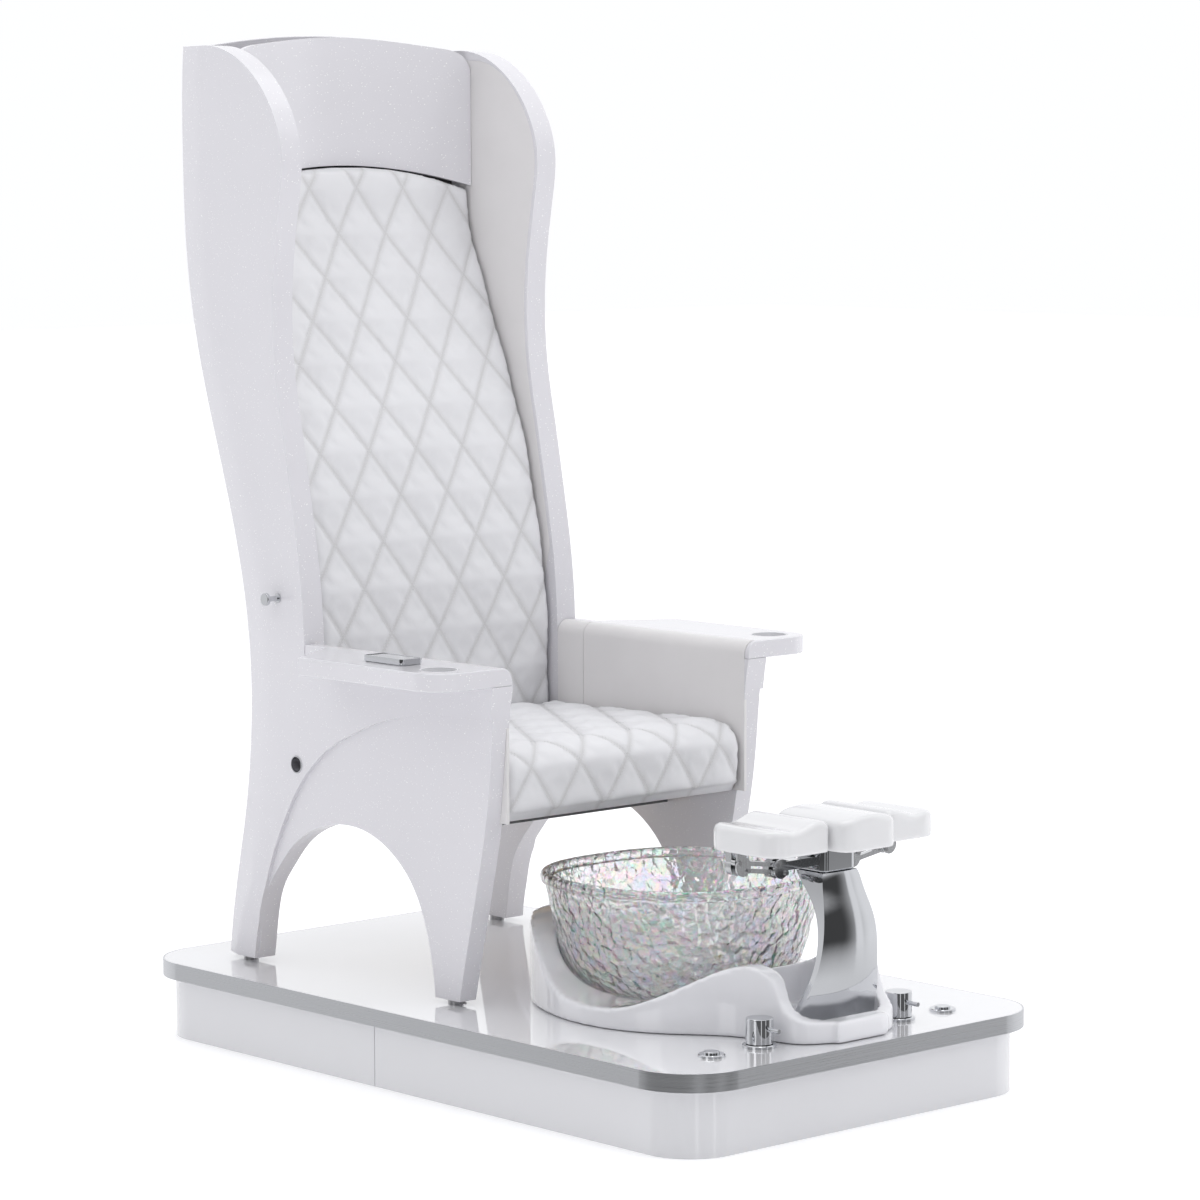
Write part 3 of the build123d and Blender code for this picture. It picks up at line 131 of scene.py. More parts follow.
def studio_walls():
    """A white room. Gloss shows it bright overhead and behind, dark with lit panels in front."""
    world = bpy.data.worlds.new("studio")
    world.use_nodes = True
    tree = world.node_tree

    def math_node(operation, first, second=0.0):
        return add_node(tree, "Math", {0: first, 1: second}, operation=operation).outputs[0]

    def ramp(value, low, high, start, end):
        """Smoothly from low at the value start to high at the value end."""
        links = {"Value": value, "From Min": start, "From Max": end, "To Min": low, "To Max": high}
        return add_node(tree, "MapRange", links, interpolation_type="SMOOTHSTEP").outputs[0]

    def mix(factor, first, second):
        links = {"Factor": factor, "A": first, "B": second}
        return add_node(tree, "Mix", links, data_type="FLOAT").outputs[0]

    direction = add_node(tree, "TexCoord").outputs["Generated"]
    axes = add_node(tree, "SeparateXYZ", {0: direction}).outputs
    ahead = math_node("ADD", math_node("MULTIPLY", axes["X"], AHEAD_X),
                      math_node("MULTIPLY", axes["Y"], AHEAD_Y))
    wave = math_node("SINE", math_node("MULTIPLY", axes["X"], PANEL_WAVES))
    panels = ramp(wave, WALL_FRONT, PANEL_LIGHT, 0.80, 0.98)
    walls = mix(ramp(ahead, 0.0, 1.0, -0.25, 0.35), panels, WALL_BACK)
    upper = mix(ramp(axes["Z"], 0.0, 1.0, 0.30, 0.62), walls, CEILING)
    room = mix(ramp(axes["Z"], 1.0, 0.0, -0.50, -0.14), upper, FLOOR_SHINE)
    seen = add_node(tree, "LightPath").outputs["Is Camera Ray"]
    background = tree.nodes["Background"]
    background.inputs["Color"].default_value = ROOM_TINT
    tree.links.new(mix(seen, room, WALL_BACK), background.inputs["Strength"])
    return world


# ------------------------------------------------------------------ materials


class Finish:
    """A procedural material: its shader's constant sockets and short calls for its nodes."""

    def __init__(self, name, **sockets):
        self.material = bpy.data.materials.new(name)
        self.material.use_nodes = True
        self.tree = self.material.node_tree
        self.shader = self.tree.nodes["Principled BSDF"]
        for socket, value in sockets.items():
            self.shader.inputs[socket.replace("_", " ")].default_value = value
        self.place = self.tree.nodes.new("ShaderNodeTexCoord").outputs["Object"]
        self.normal = None

    def node(self, kind, links=(), **values):
        """A new node in this material."""
        return add_node(self.tree, kind, links, **values)

    def stretched(self, scale):
        """The object's coordinates, scaled along each axis."""
        return self.node("Mapping", {"Vector": self.place, "Scale": scale}).outputs["Vector"]

    def noise(self, scale, detail=3.0, rough=0.5, place=None):
        """Fractal noise, scale in features a metre."""
        links = {"Vector": place or self.place, "Scale": scale}
        links |= {"Detail": detail, "Roughness": rough}
        return self.node("TexNoise", links).outputs["Fac"]

    def cells(self, scale, output="Distance", feature="F1", place=None):
        """Voronoi cells, scale in cells a metre."""
        links = {"Vector": place or self.place, "Scale": scale}
        return self.node("TexVoronoi", links, feature=feature).outputs[output]

    def wander(self, scale, reach):
        """A slowly changing offset of about that reach, to bend a pattern's lines."""
        drift = self.node("TexNoise", {"Vector": self.place, "Scale": scale}).outputs["Color"]
        scaled = self.node("VectorMath", {0: drift, "Scale": reach}, operation="SCALE")
        return scaled.outputs["Vector"]

    def spread(self, value, low, high, start=0.0, end=1.0):
        """A value's stretch from start to end, spread from low to high."""
        links = {"Value": value, "From Min": start, "From Max": end, "To Min": low, "To Max": high}
        return self.node("MapRange", links).outputs["Result"]

    def tints(self, value, *stops):
        """A colour ramp of (position, colour) stops."""
        ramp = self.node("ValToRGB", {"Fac": value})
        elements = ramp.color_ramp.elements
        while len(elements) < len(stops):
            elements.new(0.5)
        for element, (position, colour) in zip(elements, stops):
            element.position = position
            element.color = (*colour, 1)
        return ramp.outputs["Color"]

    def blend(self, amount, first, second):
        """A mix of two colours."""
        links = {"Factor": amount, "A": first, "B": second}
        return self.node("Mix", links, data_type="RGBA").outputs["Result"]

    def bump(self, height, depth):
        """Relief of that depth in metres, on top of the relief so far."""
        links = {"Height": height, "Distance": depth, "Strength": 1.0}
        if self.normal is not None:
            links["Normal"] = self.normal
        self.normal = self.node("Bump", links).outputs["Normal"]
        self.link("Normal", self.normal)

    def link(self, socket, source):
        """Feeds a socket of the shader."""
        self.tree.links.new(source, self.shader.inputs[socket])


FLAKES = 620.0
# Painted shade: the grey that the quilted leather is darkened towards along its seam creases.
SEAM_SHADE_COLOUR = (0.5, 0.49, 0.48, 1.0)
WHITE = (1.0, 1.0, 1.0, 1.0)


def gel_coat(name, tint, glitter):
    """White gel coat with a clear top layer, faint orange peel and fine glitter flakes."""
    finish = Finish(name, Coat_Weight=0.5, Coat_Roughness=0.06, IOR=1.5)
    shade = [channel * 0.975 for channel in tint]
    cloudy = finish.tints(finish.noise(3.5, 4.0), (0.3, shade), (0.7, tint))
    flakes = finish.cells(FLAKES, output="Color")
    flake_red = finish.node("SeparateColor", {"Color": flakes}).outputs["Red"]
    bright = finish.node("Math", {0: flake_red, 1: 1.0 - glitter}, operation="GREATER_THAN")
    bright = bright.outputs["Value"]
    finish.link("Base Color", finish.blend(bright, cloudy, WHITE))
    finish.link("Roughness", finish.spread(bright, 0.24, 0.08))
    finish.bump(finish.noise(120.0, 2.0), 0.00006)
    finish.bump(finish.node("SeparateColor", {"Color": flakes}).outputs["Green"], 0.00002)
    return finish.material


def gloss(name, tint, roughness=0.09, peel=0.00004):
    """Poured or lacquered gloss: faint smudges in the shine and a faint orange peel."""
    finish = Finish(name, Coat_Weight=1.0, Coat_Roughness=0.03, IOR=1.5)
    shade = [channel * 0.98 for channel in tint]
    finish.link("Base Color", finish.tints(finish.noise(2.2, 3.0), (0.3, shade), (0.7, tint)))
    smudges = finish.noise(9.0, 5.0, 0.6)
    finish.link("Roughness", finish.spread(smudges, roughness * 0.6, roughness * 1.6))
    finish.bump(finish.noise(60.0, 2.0), peel)
    return finish.material


def leather(name, tint, grain=900.0, painted_seam_shade=0.0):
    """Soft synthetic leather: pebble grain, pores, slow colour change, a dull sheen and, when
    asked, painted shade darkening it along its seams.
    """
    finish = Finish(name, IOR=1.45, Sheen_Weight=0.06, Sheen_Roughness=0.5)
    shade = [channel * 0.96 for channel in tint]
    colour = finish.tints(finish.noise(7.0, 4.0), (0.3, shade), (0.7, tint))
    # Painted shade: near each seam the colour is darkened towards the seam grey, standing in for
    # the shade in the crease.
    if painted_seam_shade:
        seam = finish.node("Attribute", attribute_name="seam").outputs["Fac"]
        colour = finish.blend(finish.spread(seam, 0.0, painted_seam_shade), colour, SEAM_SHADE_COLOUR)
    finish.link("Base Color", colour)
    finish.link("Roughness", finish.spread(finish.noise(25.0, 4.0), 0.36, 0.5))
    finish.bump(finish.noise(40.0, 4.0), 0.00035)
    finish.bump(finish.cells(grain, feature="DISTANCE_TO_EDGE"), 0.00012)
    return finish.material


def chrome(name, tint=(0.66, 0.67, 0.69), roughness=0.03):
    """Polished plating: hairline scratches and faint smudges."""
    finish = Finish(name, Metallic=1.0)
    shade = [channel * 0.94 for channel in tint]
    finish.link("Base Color", finish.tints(finish.noise(6.0, 3.0), (0.3, shade), (0.7, tint)))
    smudges = finish.noise(30.0, 5.0, 0.7)
    finish.link("Roughness", finish.spread(smudges, roughness * 0.5, roughness * 2.2, 0.35, 0.75))
    finish.bump(finish.noise(300.0, 3.0, place=finish.stretched((1, 1, 8))), 0.000006)
    return finish.material


def brushed(name, tint, lines, roughness=0.3):
    """Brushed metal whose lines run across the axis that lines stretches."""
    finish = Finish(name, Metallic=1.0, Anisotropic=0.4)
    streaks = finish.noise(1.0, 6.0, 0.7, place=finish.stretched(lines))
    dark = [channel * 0.82 for channel in tint]
    finish.link("Base Color", finish.tints(streaks, (0.3, dark), (0.7, tint)))
    finish.link("Roughness", finish.spread(streaks, roughness * 0.75, roughness * 1.35, 0.3, 0.7))
    finish.bump(streaks, 0.00006)
    return finish.material


def cast(name, tint, metallic, roughness, grain=220.0, depth=0.00015):
    """Plain moulded, cast or painted stock: fine texture and uneven shine."""
    finish = Finish(name, Metallic=metallic)
    dark = [channel * 0.85 for channel in tint]
    finish.link("Base Color", finish.tints(finish.noise(18.0, 5.0), (0.3, dark), (0.7, tint)))
    shine = finish.noise(45.0, 4.0)
    finish.link("Roughness", finish.spread(shine, roughness * 0.8, roughness * 1.2, 0.3, 0.7))
    finish.bump(finish.noise(grain, 3.0), depth)
    return finish.material


def plywood(name, pale, dark):
    """Birch plywood: long wavy grain and small pores."""
    finish = Finish(name)
    grain = finish.noise(1.0, 8.0, 0.65, place=finish.stretched((70, 4, 6)))
    finish.link("Base Color", finish.tints(grain, (0.35, dark), (0.65, pale)))
    finish.link("Roughness", finish.spread(grain, 0.5, 0.75))
    finish.bump(grain, 0.0003)
    return finish.material


def iridescent_glass(name):
    """Clear hammered glass with a pearl coating, strong in patches and thin between them."""
    finish = Finish(
        name, Transmission_Weight=0.95, IOR=1.55, Coat_Weight=0.8, Coat_Roughness=0.015,
        Thin_Film_IOR=2.1,
    )
    pearl = finish.tints(
        finish.noise(34.0, 3.0, 0.6),
        (0.28, (0.50, 0.86, 0.95)),
        (0.39, (0.62, 0.66, 0.99)),
        (0.46, (0.95, 0.66, 0.90)),
        (0.53, (0.99, 0.92, 0.62)),
        (0.61, (0.60, 0.95, 0.84)),
        (0.72, (0.97, 0.97, 0.99)),
    )
    strong = finish.spread(finish.noise(7.0, 2.0), 0.06, 0.62, 0.42, 0.62)
    finish.link("Base Color", finish.blend(strong, (0.99, 1.0, 0.99, 1.0), pearl))
    film = finish.noise(26.0, 2.0)
    finish.link("Thin Film Thickness", finish.spread(film, 220.0, 680.0, 0.3, 0.7))
    finish.link("Roughness", finish.spread(finish.noise(70.0, 3.0), 0.0, 0.04, 0.3, 0.7))
    moved = finish.node("VectorMath", {0: finish.place, 1: finish.wander(30.0, 0.012)})
    drift = moved.outputs["Vector"]
    finish.bump(finish.cells(56.0, place=drift), 0.0038)
    finish.bump(finish.noise(150.0, 2.0, place=drift), 0.0006)
    return finish.material


FINISHES = {
    "frame_steel": cast("painted_frame", (0.16, 0.17, 0.18), 0.3, 0.45),
    "black_rubber": cast("black_rubber", (0.03, 0.03, 0.03), 0.0, 0.8),
    "white_gloss": gloss("skirt_gloss", (0.76, 0.76, 0.78)),
    "deck_gloss": gloss("deck_gloss", (0.88, 0.88, 0.9), 0.05, 0.00002),
    "brushed_trim": brushed("brushed_trim", (0.70, 0.71, 0.73), (3, 3, 1400)),
    "chrome": chrome("chrome"),
    "basin_white": gloss("basin_gloss", (0.88, 0.88, 0.91), 0.06),
    "bowl_glass": iridescent_glass("iridescent_glass"),
    "pipe_plastic": cast("grey_pipe", (0.42, 0.43, 0.45), 0.0, 0.5),
    "brass_body": cast("cast_brass", (0.62, 0.46, 0.22), 1.0, 0.42, 400.0),
    "pad_white": gloss("pad_moulding", (0.79, 0.79, 0.80), 0.12, 0.00006),
    "bracket_steel": brushed("bracket_steel", (0.76, 0.77, 0.78), (600, 600, 40), 0.16),
    "screw_steel": brushed("zinc_steel", (0.5, 0.5, 0.51), (400, 400, 400), 0.32),
    "glitter_white": gel_coat("glitter_gel_coat", (0.765, 0.755, 0.79), 0.012),
    "lining_satin": leather("lining_satin", (0.80, 0.785, 0.785), 1100.0),
    "board_wood": plywood("birch_plywood", (0.66, 0.52, 0.36), (0.48, 0.35, 0.22)),
    # Painted shade: the back board, seen only in the gap between headrest and back cushion, is
    # coloured near black to stand for the shade in that gap, not for a real stain.
    "dark_board": cast("board_black_for_gap_shade", (0.05, 0.05, 0.05), 0.0, 0.6),
    # The quilted leather takes painted shade along its seams, 0.45 of the way to the seam grey.
    "quilted_leather": leather("quilted_leather", (0.80, 0.80, 0.82), 900.0, 0.45),
    "liner_white": cast("liner_white", (0.8, 0.8, 0.82), 0.0, 0.4),
    "remote_white": gloss("remote_gloss", (0.55, 0.56, 0.58), 0.08),
}


def dress(obj, slot):
    """Gives a piece the finish of a material slot."""
    obj.data.materials.clear()
    obj.data.materials.append(FINISHES[slot])


# ------------------------------------------------------------------ helpers for pieces


def settle(obj, node, *more_nodes):
    """A finished piece stands for its CAD nodes: same body, same slot, same finish."""
    dress(obj, SLOT_OF[node])
    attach(obj, BODY_OF[node])
    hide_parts(node, *more_nodes)
    return obj


def new_piece(name, vertices, faces):
    """A mesh object from plain lists, with its faces wound the same way."""
    mesh = bpy.data.meshes.new(name)
    mesh.from_pydata([tuple(v) for v in vertices], [], [tuple(f) for f in faces])
    mesh.validate()
    work = bmesh.new()
    work.from_mesh(mesh)
    bmesh.ops.remove_doubles(work, verts=work.verts, dist=1e-6)
    bmesh.ops.recalc_face_normals(work, faces=work.faces)
    work.to_mesh(mesh)
    work.free()
    obj = bpy.data.objects.new(name, mesh)
    bpy.context.scene.collection.objects.link(obj)
    return obj


def copy_of(node, name):
    """A welded copy of a CAD node's mesh, with flat parts joined into single faces."""
    mesh = bpy.data.meshes.new(name)
    work = bmesh.new()
    work.from_mesh(NODES[node].data)
    bmesh.ops.remove_doubles(work, verts=work.verts, dist=2e-6)
    bmesh.ops.dissolve_limit(
        work, angle_limit=math.radians(0.1), verts=work.verts, edges=work.edges,
        use_dissolve_boundaries=False,
    )
    bmesh.ops.recalc_face_normals(work, faces=work.faces)
    work.to_mesh(mesh)
    work.free()
    obj = bpy.data.objects.new(name, mesh)
    bpy.context.scene.collection.objects.link(obj)
    return obj


MELT_ROUNDS = 14
BEVEL_ANGLE = 32


def apply_modifiers(obj):
    """Replaces the mesh by what its modifiers make of it."""
    graph = bpy.context.evaluated_depsgraph_get()
    made = bpy.data.meshes.new_from_object(obj.evaluated_get(graph))
    obj.modifiers.clear()
    obj.data = made


def shade(obj, crease=35.0):
    """Smooth shading, sharp only at real creases."""
    obj.data.polygons.foreach_set("use_smooth", [True] * len(obj.data.polygons))
    obj.data.set_sharp_from_angle(angle=math.radians(crease))


def eased_copy(node, radius, segments=3):
    """A CAD node's shape with its edges rounded, as a moulding or a machined part has them."""
    obj = copy_of(node, node + "_eased")
    bevel = obj.modifiers.new("bevel", "BEVEL")
    bevel.width = radius
    bevel.segments = segments
    bevel.limit_method = "ANGLE"
    bevel.angle_limit = math.radians(BEVEL_ANGLE)
    bevel.miter_outer = "MITER_ARC"
    apply_modifiers(obj)
    shade(obj)
    weighted = obj.modifiers.new("weighted", "WEIGHTED_NORMAL")
    weighted.keep_sharp = True
    apply_modifiers(obj)
    return settle(obj, node)


def melted_copy(node, voxel):
    """A CAD node's shape with every edge melted into a soft moulded round."""
    obj = copy_of(node, node + "_moulded")
    remesh = obj.modifiers.new("remesh", "REMESH")
    remesh.mode = "VOXEL"
    remesh.voxel_size = voxel
    soften = obj.modifiers.new("soften", "SMOOTH")
    soften.factor = 0.5
    soften.iterations = MELT_ROUNDS
    apply_modifiers(obj)
    shade(obj, 80)
    return settle(obj, node)


def smooth_curve(points, count):
    """Catmull-Rom curve through control points, as count points."""
    points = np.array(points, float)
    padded = np.vstack([2 * points[0] - points[1], points, 2 * points[-1] - points[-2]])
    place = np.linspace(0, len(points) - 1.000001, count)
    index = place.astype(int)
    t = (place - index)[:, None]
    p0, p1, p2, p3 = (padded[index + k] for k in range(4))
    return 0.5 * (2 * p1 + (p2 - p0) * t + (2 * p0 - 5 * p1 + 4 * p2 - p3) * t**2
                  + (3 * p1 - p0 - 3 * p2 + p3) * t**3)


# ------------------------------------------------------------------ quilted cushions

# The seams run along the lattice lines. A stitch row lies STITCH_GAP to each side of a seam.
DIAMOND_W = 0.116
DIAMOND_H = 0.175
STITCH_GAP = 0.0035
CELL_STEPS = 14
LINE_STEP = DIAMOND_W * DIAMOND_H / math.hypot(DIAMOND_W, DIAMOND_H)
ROW_AT = STITCH_GAP / LINE_STEP
THREAD_LENGTH = 0.0046
THREAD_PITCH = 0.0066
THREAD_R = 0.0006
# How far the painted shade along each seam spreads to either side of it.
SEAM_SHADE_WIDTH = 0.004

# The cloth: its spare length, how long it is blown up, and how low and high it may stand.
SLACK = 0.016
PUFF_FRAMES = 22
PUFF_LOW, PUFF_HIGH = -0.002, 0.016

# The cushion's face: its rounded border, its crown, and how far the seams sink below the CAD face.
EDGE_ROLL = 0.016
CROWN = 0.004
QUILT_SINK = 0.010
SIDE_CLEAR = 0.003


class Track:
    """The cushion's face seen from the side: a path of (y, z) points, run from the top down."""

    def __init__(self, points):
        self.points = np.array(points, float)
        steps = np.hypot(*np.diff(self.points, axis=0).T)
        self.reach = np.concatenate([[0], np.cumsum(steps)])
        self.length = self.reach[-1]

    def at(self, along):
        """Points and outward normals at distances along the track."""
        along = np.asarray(along, float)
        step = 0.004

        def place(where):
            y = np.interp(where, self.reach, self.points[:, 0])
            z = np.interp(where, self.reach, self.points[:, 1])
            return np.stack([y, z], -1)

        ahead = place(np.clip(along + step, 0, self.length))
        behind = place(np.clip(along - step, 0, self.length))
        tangent = ahead - behind
        tangent /= np.linalg.norm(tangent, axis=-1, keepdims=True)
        normal = np.stack([tangent[..., 1], -tangent[..., 0]], -1)
        return place(along), normal


def lattice_values(low, high):
    """Lattice coordinates: whole numbers on the seams, a stitch row each side, even steps."""
    inner = np.linspace(ROW_AT, 1 - ROW_AT, CELL_STEPS + 1)
    cell = np.concatenate([[0], inner])
    return np.concatenate([k + cell for k in range(math.floor(low), math.ceil(high))])


def to_flat(a, b, shift):
    """Lattice coordinates to distances across and along the cushion."""
    return DIAMOND_W * (a + b) / 2, DIAMOND_H * (a - b) / 2 + shift


def to_lattice(u, v, shift):
    """Distances across and along the cushion to lattice coordinates."""
    return u / DIAMOND_W + (v - shift) / DIAMOND_H, u / DIAMOND_W - (v - shift) / DIAMOND_H


def flat_quilt(name, corners, shift):
    """Flat sheet of diamonds cut to a convex outline, and the indices of its stitched vertices."""
    corners = np.array(corners)
    low_u, high_u = corners[:, 0].min(), corners[:, 0].max()
    low_v, high_v = corners[:, 1].min(), corners[:, 1].max()
    ends = [(u, v) for u in (low_u, high_u) for v in (low_v, high_v)]
    reach = max(np.abs(to_lattice(u, v, shift)).max() for u, v in ends)
    lines = lattice_values(-reach - 1, reach + 1)
    a, b = np.meshgrid(lines, lines, indexing="ij")
    u, v = to_flat(a, b, shift)
    margin = 0.02
    near = (u > low_u - margin) & (u < high_u + margin)
    near &= (v > low_v - margin) & (v < high_v + margin)
    work = bmesh.new()
    made = {}
    for i, j in zip(*np.nonzero(near)):
        made[i, j] = work.verts.new((u[i, j], v[i, j], 0))
    for (i, j), corner in made.items():
        ring = [corner, made.get((i + 1, j)), made.get((i + 1, j + 1)), made.get((i, j + 1))]
        if None not in ring:
            work.faces.new(ring)
    loose = [vertex for vertex in work.verts if not vertex.link_faces]
    bmesh.ops.delete(work, geom=loose, context="VERTS")
    for start, end in zip(corners, np.roll(corners, -1, axis=0)):
        away = Vector((end[1] - start[1], start[0] - end[0], 0))
        bmesh.ops.bisect_plane(
            work, geom=work.verts[:] + work.edges[:] + work.faces[:], plane_co=(*start, 0),
            plane_no=away, clear_outer=True, dist=1e-5,
        )
    bmesh.ops.remove_doubles(work, verts=work.verts, dist=2e-4)
    bmesh.ops.recalc_face_normals(work, faces=work.faces)
    if sum(face.normal.z for face in work.faces) < 0:
        bmesh.ops.reverse_faces(work, faces=work.faces)
    work.verts.index_update()
    border = [vertex.index for vertex in work.verts if vertex.is_boundary]
    mesh = bpy.data.meshes.new(name)
    work.to_mesh(mesh)
    work.free()
    obj = bpy.data.objects.new(name, mesh)
    bpy.context.scene.collection.objects.link(obj)
    flat = flat_places(obj)
    a, b = to_lattice(flat[:, 0], flat[:, 1], shift)
    on_row = np.zeros(len(flat), bool)
    for value in (a, b):
        off = np.abs(value - np.round(value))
        on_row |= np.abs(off - ROW_AT) < 0.004
    on_row[border] = True
    return obj, np.nonzero(on_row)[0]


def flat_places(obj):
    """All vertex places of a mesh, as an array."""
    places = np.zeros(len(obj.data.vertices) * 3)
    obj.data.vertices.foreach_get("co", places)
    return places.reshape(-1, 3)


def puff(obj, stitched, shift):
    """Cloth held down along its stitching and blown up from below, with some slack to pucker."""
    flat = flat_places(obj)
    a, b = to_lattice(flat[:, 0], flat[:, 1], shift)
    rise = np.abs(np.sin(math.pi * a) * np.sin(math.pi * b)) ** 0.4
    rise[stitched] = 0
    start = flat + np.stack([0 * rise, 0 * rise, 0.004 * rise], -1)
    obj.data.vertices.foreach_set("co", start.ravel())
    group = obj.vertex_groups.new(name="stitched")
    group.add([int(i) for i in stitched], 1.0, "REPLACE")
    cloth = obj.modifiers.new("cloth", "CLOTH")
    settings = cloth.settings
    settings.quality = 5
    settings.mass = 0.25
    settings.air_damping = 2.0
    settings.tension_stiffness = 20
    settings.compression_stiffness = 8
    settings.shear_stiffness = 8
    settings.bending_stiffness = 0.5
    settings.vertex_group_mass = "stitched"
    settings.shrink_min = -SLACK
    settings.use_pressure = True
    settings.uniform_pressure_force = 3.0
    settings.effector_weights.gravity = 0
    cloth.collision_settings.use_collision = False
    scene = bpy.context.scene
    for number in range(1, PUFF_FRAMES + 1):
        scene.frame_set(number)
    graph = bpy.context.evaluated_depsgraph_get()
    shape = obj.evaluated_get(graph).to_mesh()
    places = np.zeros(len(shape.vertices) * 3)
    shape.vertices.foreach_get("co", places)
    obj.modifiers.clear()
    scene.frame_set(1)
    places = places.reshape(-1, 3)
    places[:, 2] = np.clip(places[:, 2], PUFF_LOW, PUFF_HIGH)
    return places


class Cushion:
    """Maps the flat quilt on to a cushion's face, with rolled sides and a slight crown."""

    def __init__(self, track, half_w, corners):
        self.track = track
        self.half_w = half_w
        self.corners = np.array(corners)

    def edge_distance(self, u, v):
        """Distance to the nearest side of the outline, inside it."""
        nearest = np.full(np.shape(u), 9.0)
        for start, end in zip(self.corners, np.roll(self.corners, -1, axis=0)):
            along = end - start
            across = ((v - start[1]) * along[0] - (u - start[0]) * along[1]) / np.hypot(*along)
            nearest = np.minimum(nearest, np.abs(across))
        return nearest

    def place(self, u, v, height):
        """Points in the part's frame, and the directions that height runs in."""
        base, normal = self.track.at(v)
        inside = np.clip(EDGE_ROLL - self.edge_distance(u, v), 0, EDGE_ROLL)
        drop = EDGE_ROLL - np.sqrt(EDGE_ROLL**2 - inside**2)
        crown = CROWN * (1 - (u / self.half_w) ** 2)
        lift = height + crown - drop - QUILT_SINK
        out = np.stack([0 * u, normal[..., 0], normal[..., 1]], -1)
        points = np.stack([u, base[..., 0], base[..., 1]], -1)
        return points + out * lift[..., None], out

    def threads(self, name, shift):
        """The stitches: small thread ends in two rows along each seam."""
        places, ends = [], []
        reach = np.abs(to_lattice(*self.corners.T, shift)).max() + 1
        step = THREAD_PITCH / math.hypot(DIAMOND_W, DIAMOND_H) * 2
        along = np.arange(-reach, reach, step)
        for line in range(-math.ceil(reach), math.ceil(reach)):
            for row in (line - ROW_AT, line + ROW_AT):
                for swap in (False, True):
                    fixed = np.full_like(along, row)
                    far = along + step * THREAD_LENGTH / THREAD_PITCH
                    for found, run in ((places, along), (ends, far)):
                        pair = (run, fixed) if swap else (fixed, run)
                        found.append(np.stack(to_flat(*pair, shift), -1))
        places, ends = np.concatenate(places), np.concatenate(ends)
        inner = self.contains(places) & self.contains(ends)
        start, out = self.place(*places[inner].T, np.zeros(inner.sum()))
        end, _ = self.place(*ends[inner].T, np.zeros(inner.sum()))
        return thread_mesh(name, start, end, out)

    def contains(self, flat):
        """Whether points lie inside the outline, clear of its rolled edge."""
        sides = []
        for start, end in zip(self.corners, np.roll(self.corners, -1, axis=0)):
            along = end - start
            sides.append((flat[:, 1] - start[1]) * along[0] - (flat[:, 0] - start[0]) * along[1])
        sides = np.stack(sides, -1)
        same = (sides > 0).all(-1) | (sides < 0).all(-1)
        return same & (self.edge_distance(flat[:, 0], flat[:, 1]) > 0.006)


def thread_mesh(name, start, end, out):
    """One spindle of thread from each start to each end."""
    centre = (start + end) / 2 + out * THREAD_R * 0.5
    along = (end - start) / 2
    side = np.cross(along, out)
    side /= np.linalg.norm(side, axis=1, keepdims=True)
    ring = [centre - along, centre + side * THREAD_R, centre + out * THREAD_R,
            centre - side * THREAD_R, centre - out * THREAD_R, centre + along]
    vertices = np.stack(ring, 1).reshape(-1, 3)
    pattern = [
        (0, 1, 2), (0, 2, 3), (0, 3, 4), (0, 4, 1), (5, 2, 1), (5, 3, 2), (5, 4, 3), (5, 1, 4),
    ]
    faces = [tuple(6 * k + i for i in face) for k in range(len(start)) for face in pattern]
    mesh = bpy.data.meshes.new(name)
    mesh.from_pydata(vertices.tolist(), [], faces)
    mesh.polygons.foreach_set("use_smooth", [True] * len(mesh.polygons))
    obj = bpy.data.objects.new(name, mesh)
    bpy.context.scene.collection.objects.link(obj)
    return obj


def quilted_cushion(node, track, corners, shift, close):
    """A quilted cushion: a simulated quilt on its face, then what close makes of its border."""
    half_w = max(abs(corner[0]) for corner in corners)
    shape = Cushion(track, half_w, corners)
    obj, stitched = flat_quilt(node + "_quilted", corners, shift)
    flat = puff(obj, stitched, shift)
    places, _ = shape.place(flat[:, 0], flat[:, 1], flat[:, 2])
    obj.data.vertices.foreach_set("co", places.ravel())
    # The seam attribute: nearness to a seam line, which the leather uses to paint shade into the
    # seam creases.
    a, b = to_lattice(flat[:, 0], flat[:, 1], shift)
    off = np.minimum(np.abs(a - np.round(a)), np.abs(b - np.round(b))) * LINE_STEP
    seam = np.exp(-((off / SEAM_SHADE_WIDTH) ** 2))
    attribute = obj.data.attributes.new("seam", "FLOAT", "POINT")
    attribute.data.foreach_set("value", seam.astype(np.float32))
    close(obj)
    shade(obj, 70)
    settle(obj, node)
    threads = shape.threads(node + "_stitching", shift)
    dress(threads, "quilted_leather")
    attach(threads, BODY_OF[node])


def close_with_rings(obj, rings, cap):
    """Extrudes the border through each ring's function of a point. cap fills the last ring."""
    work = bmesh.new()
    work.from_mesh(obj.data)
    border = [edge for edge in work.edges if edge.is_boundary]
    for move in rings:
        made = bmesh.ops.extrude_edge_only(work, edges=border)["geom"]
        for vertex in [item for item in made if isinstance(item, bmesh.types.BMVert)]:
            vertex.co = Vector(move(vertex.co))
        border = [item for item in made if isinstance(item, bmesh.types.BMEdge)]
    if cap:
        last_ring = {vertex for edge in border for vertex in edge.verts}
        last_ring = sorted(last_ring, key=lambda vertex: tuple(vertex.co))
        bmesh.ops.remove_doubles(work, verts=last_ring, dist=1e-4)
        open_edges = [edge for edge in work.edges if edge.is_boundary]
        bmesh.ops.holes_fill(work, edges=open_edges, sides=0)
    bmesh.ops.recalc_face_normals(work, faces=work.faces)
    work.to_mesh(obj.data)
    work.free()


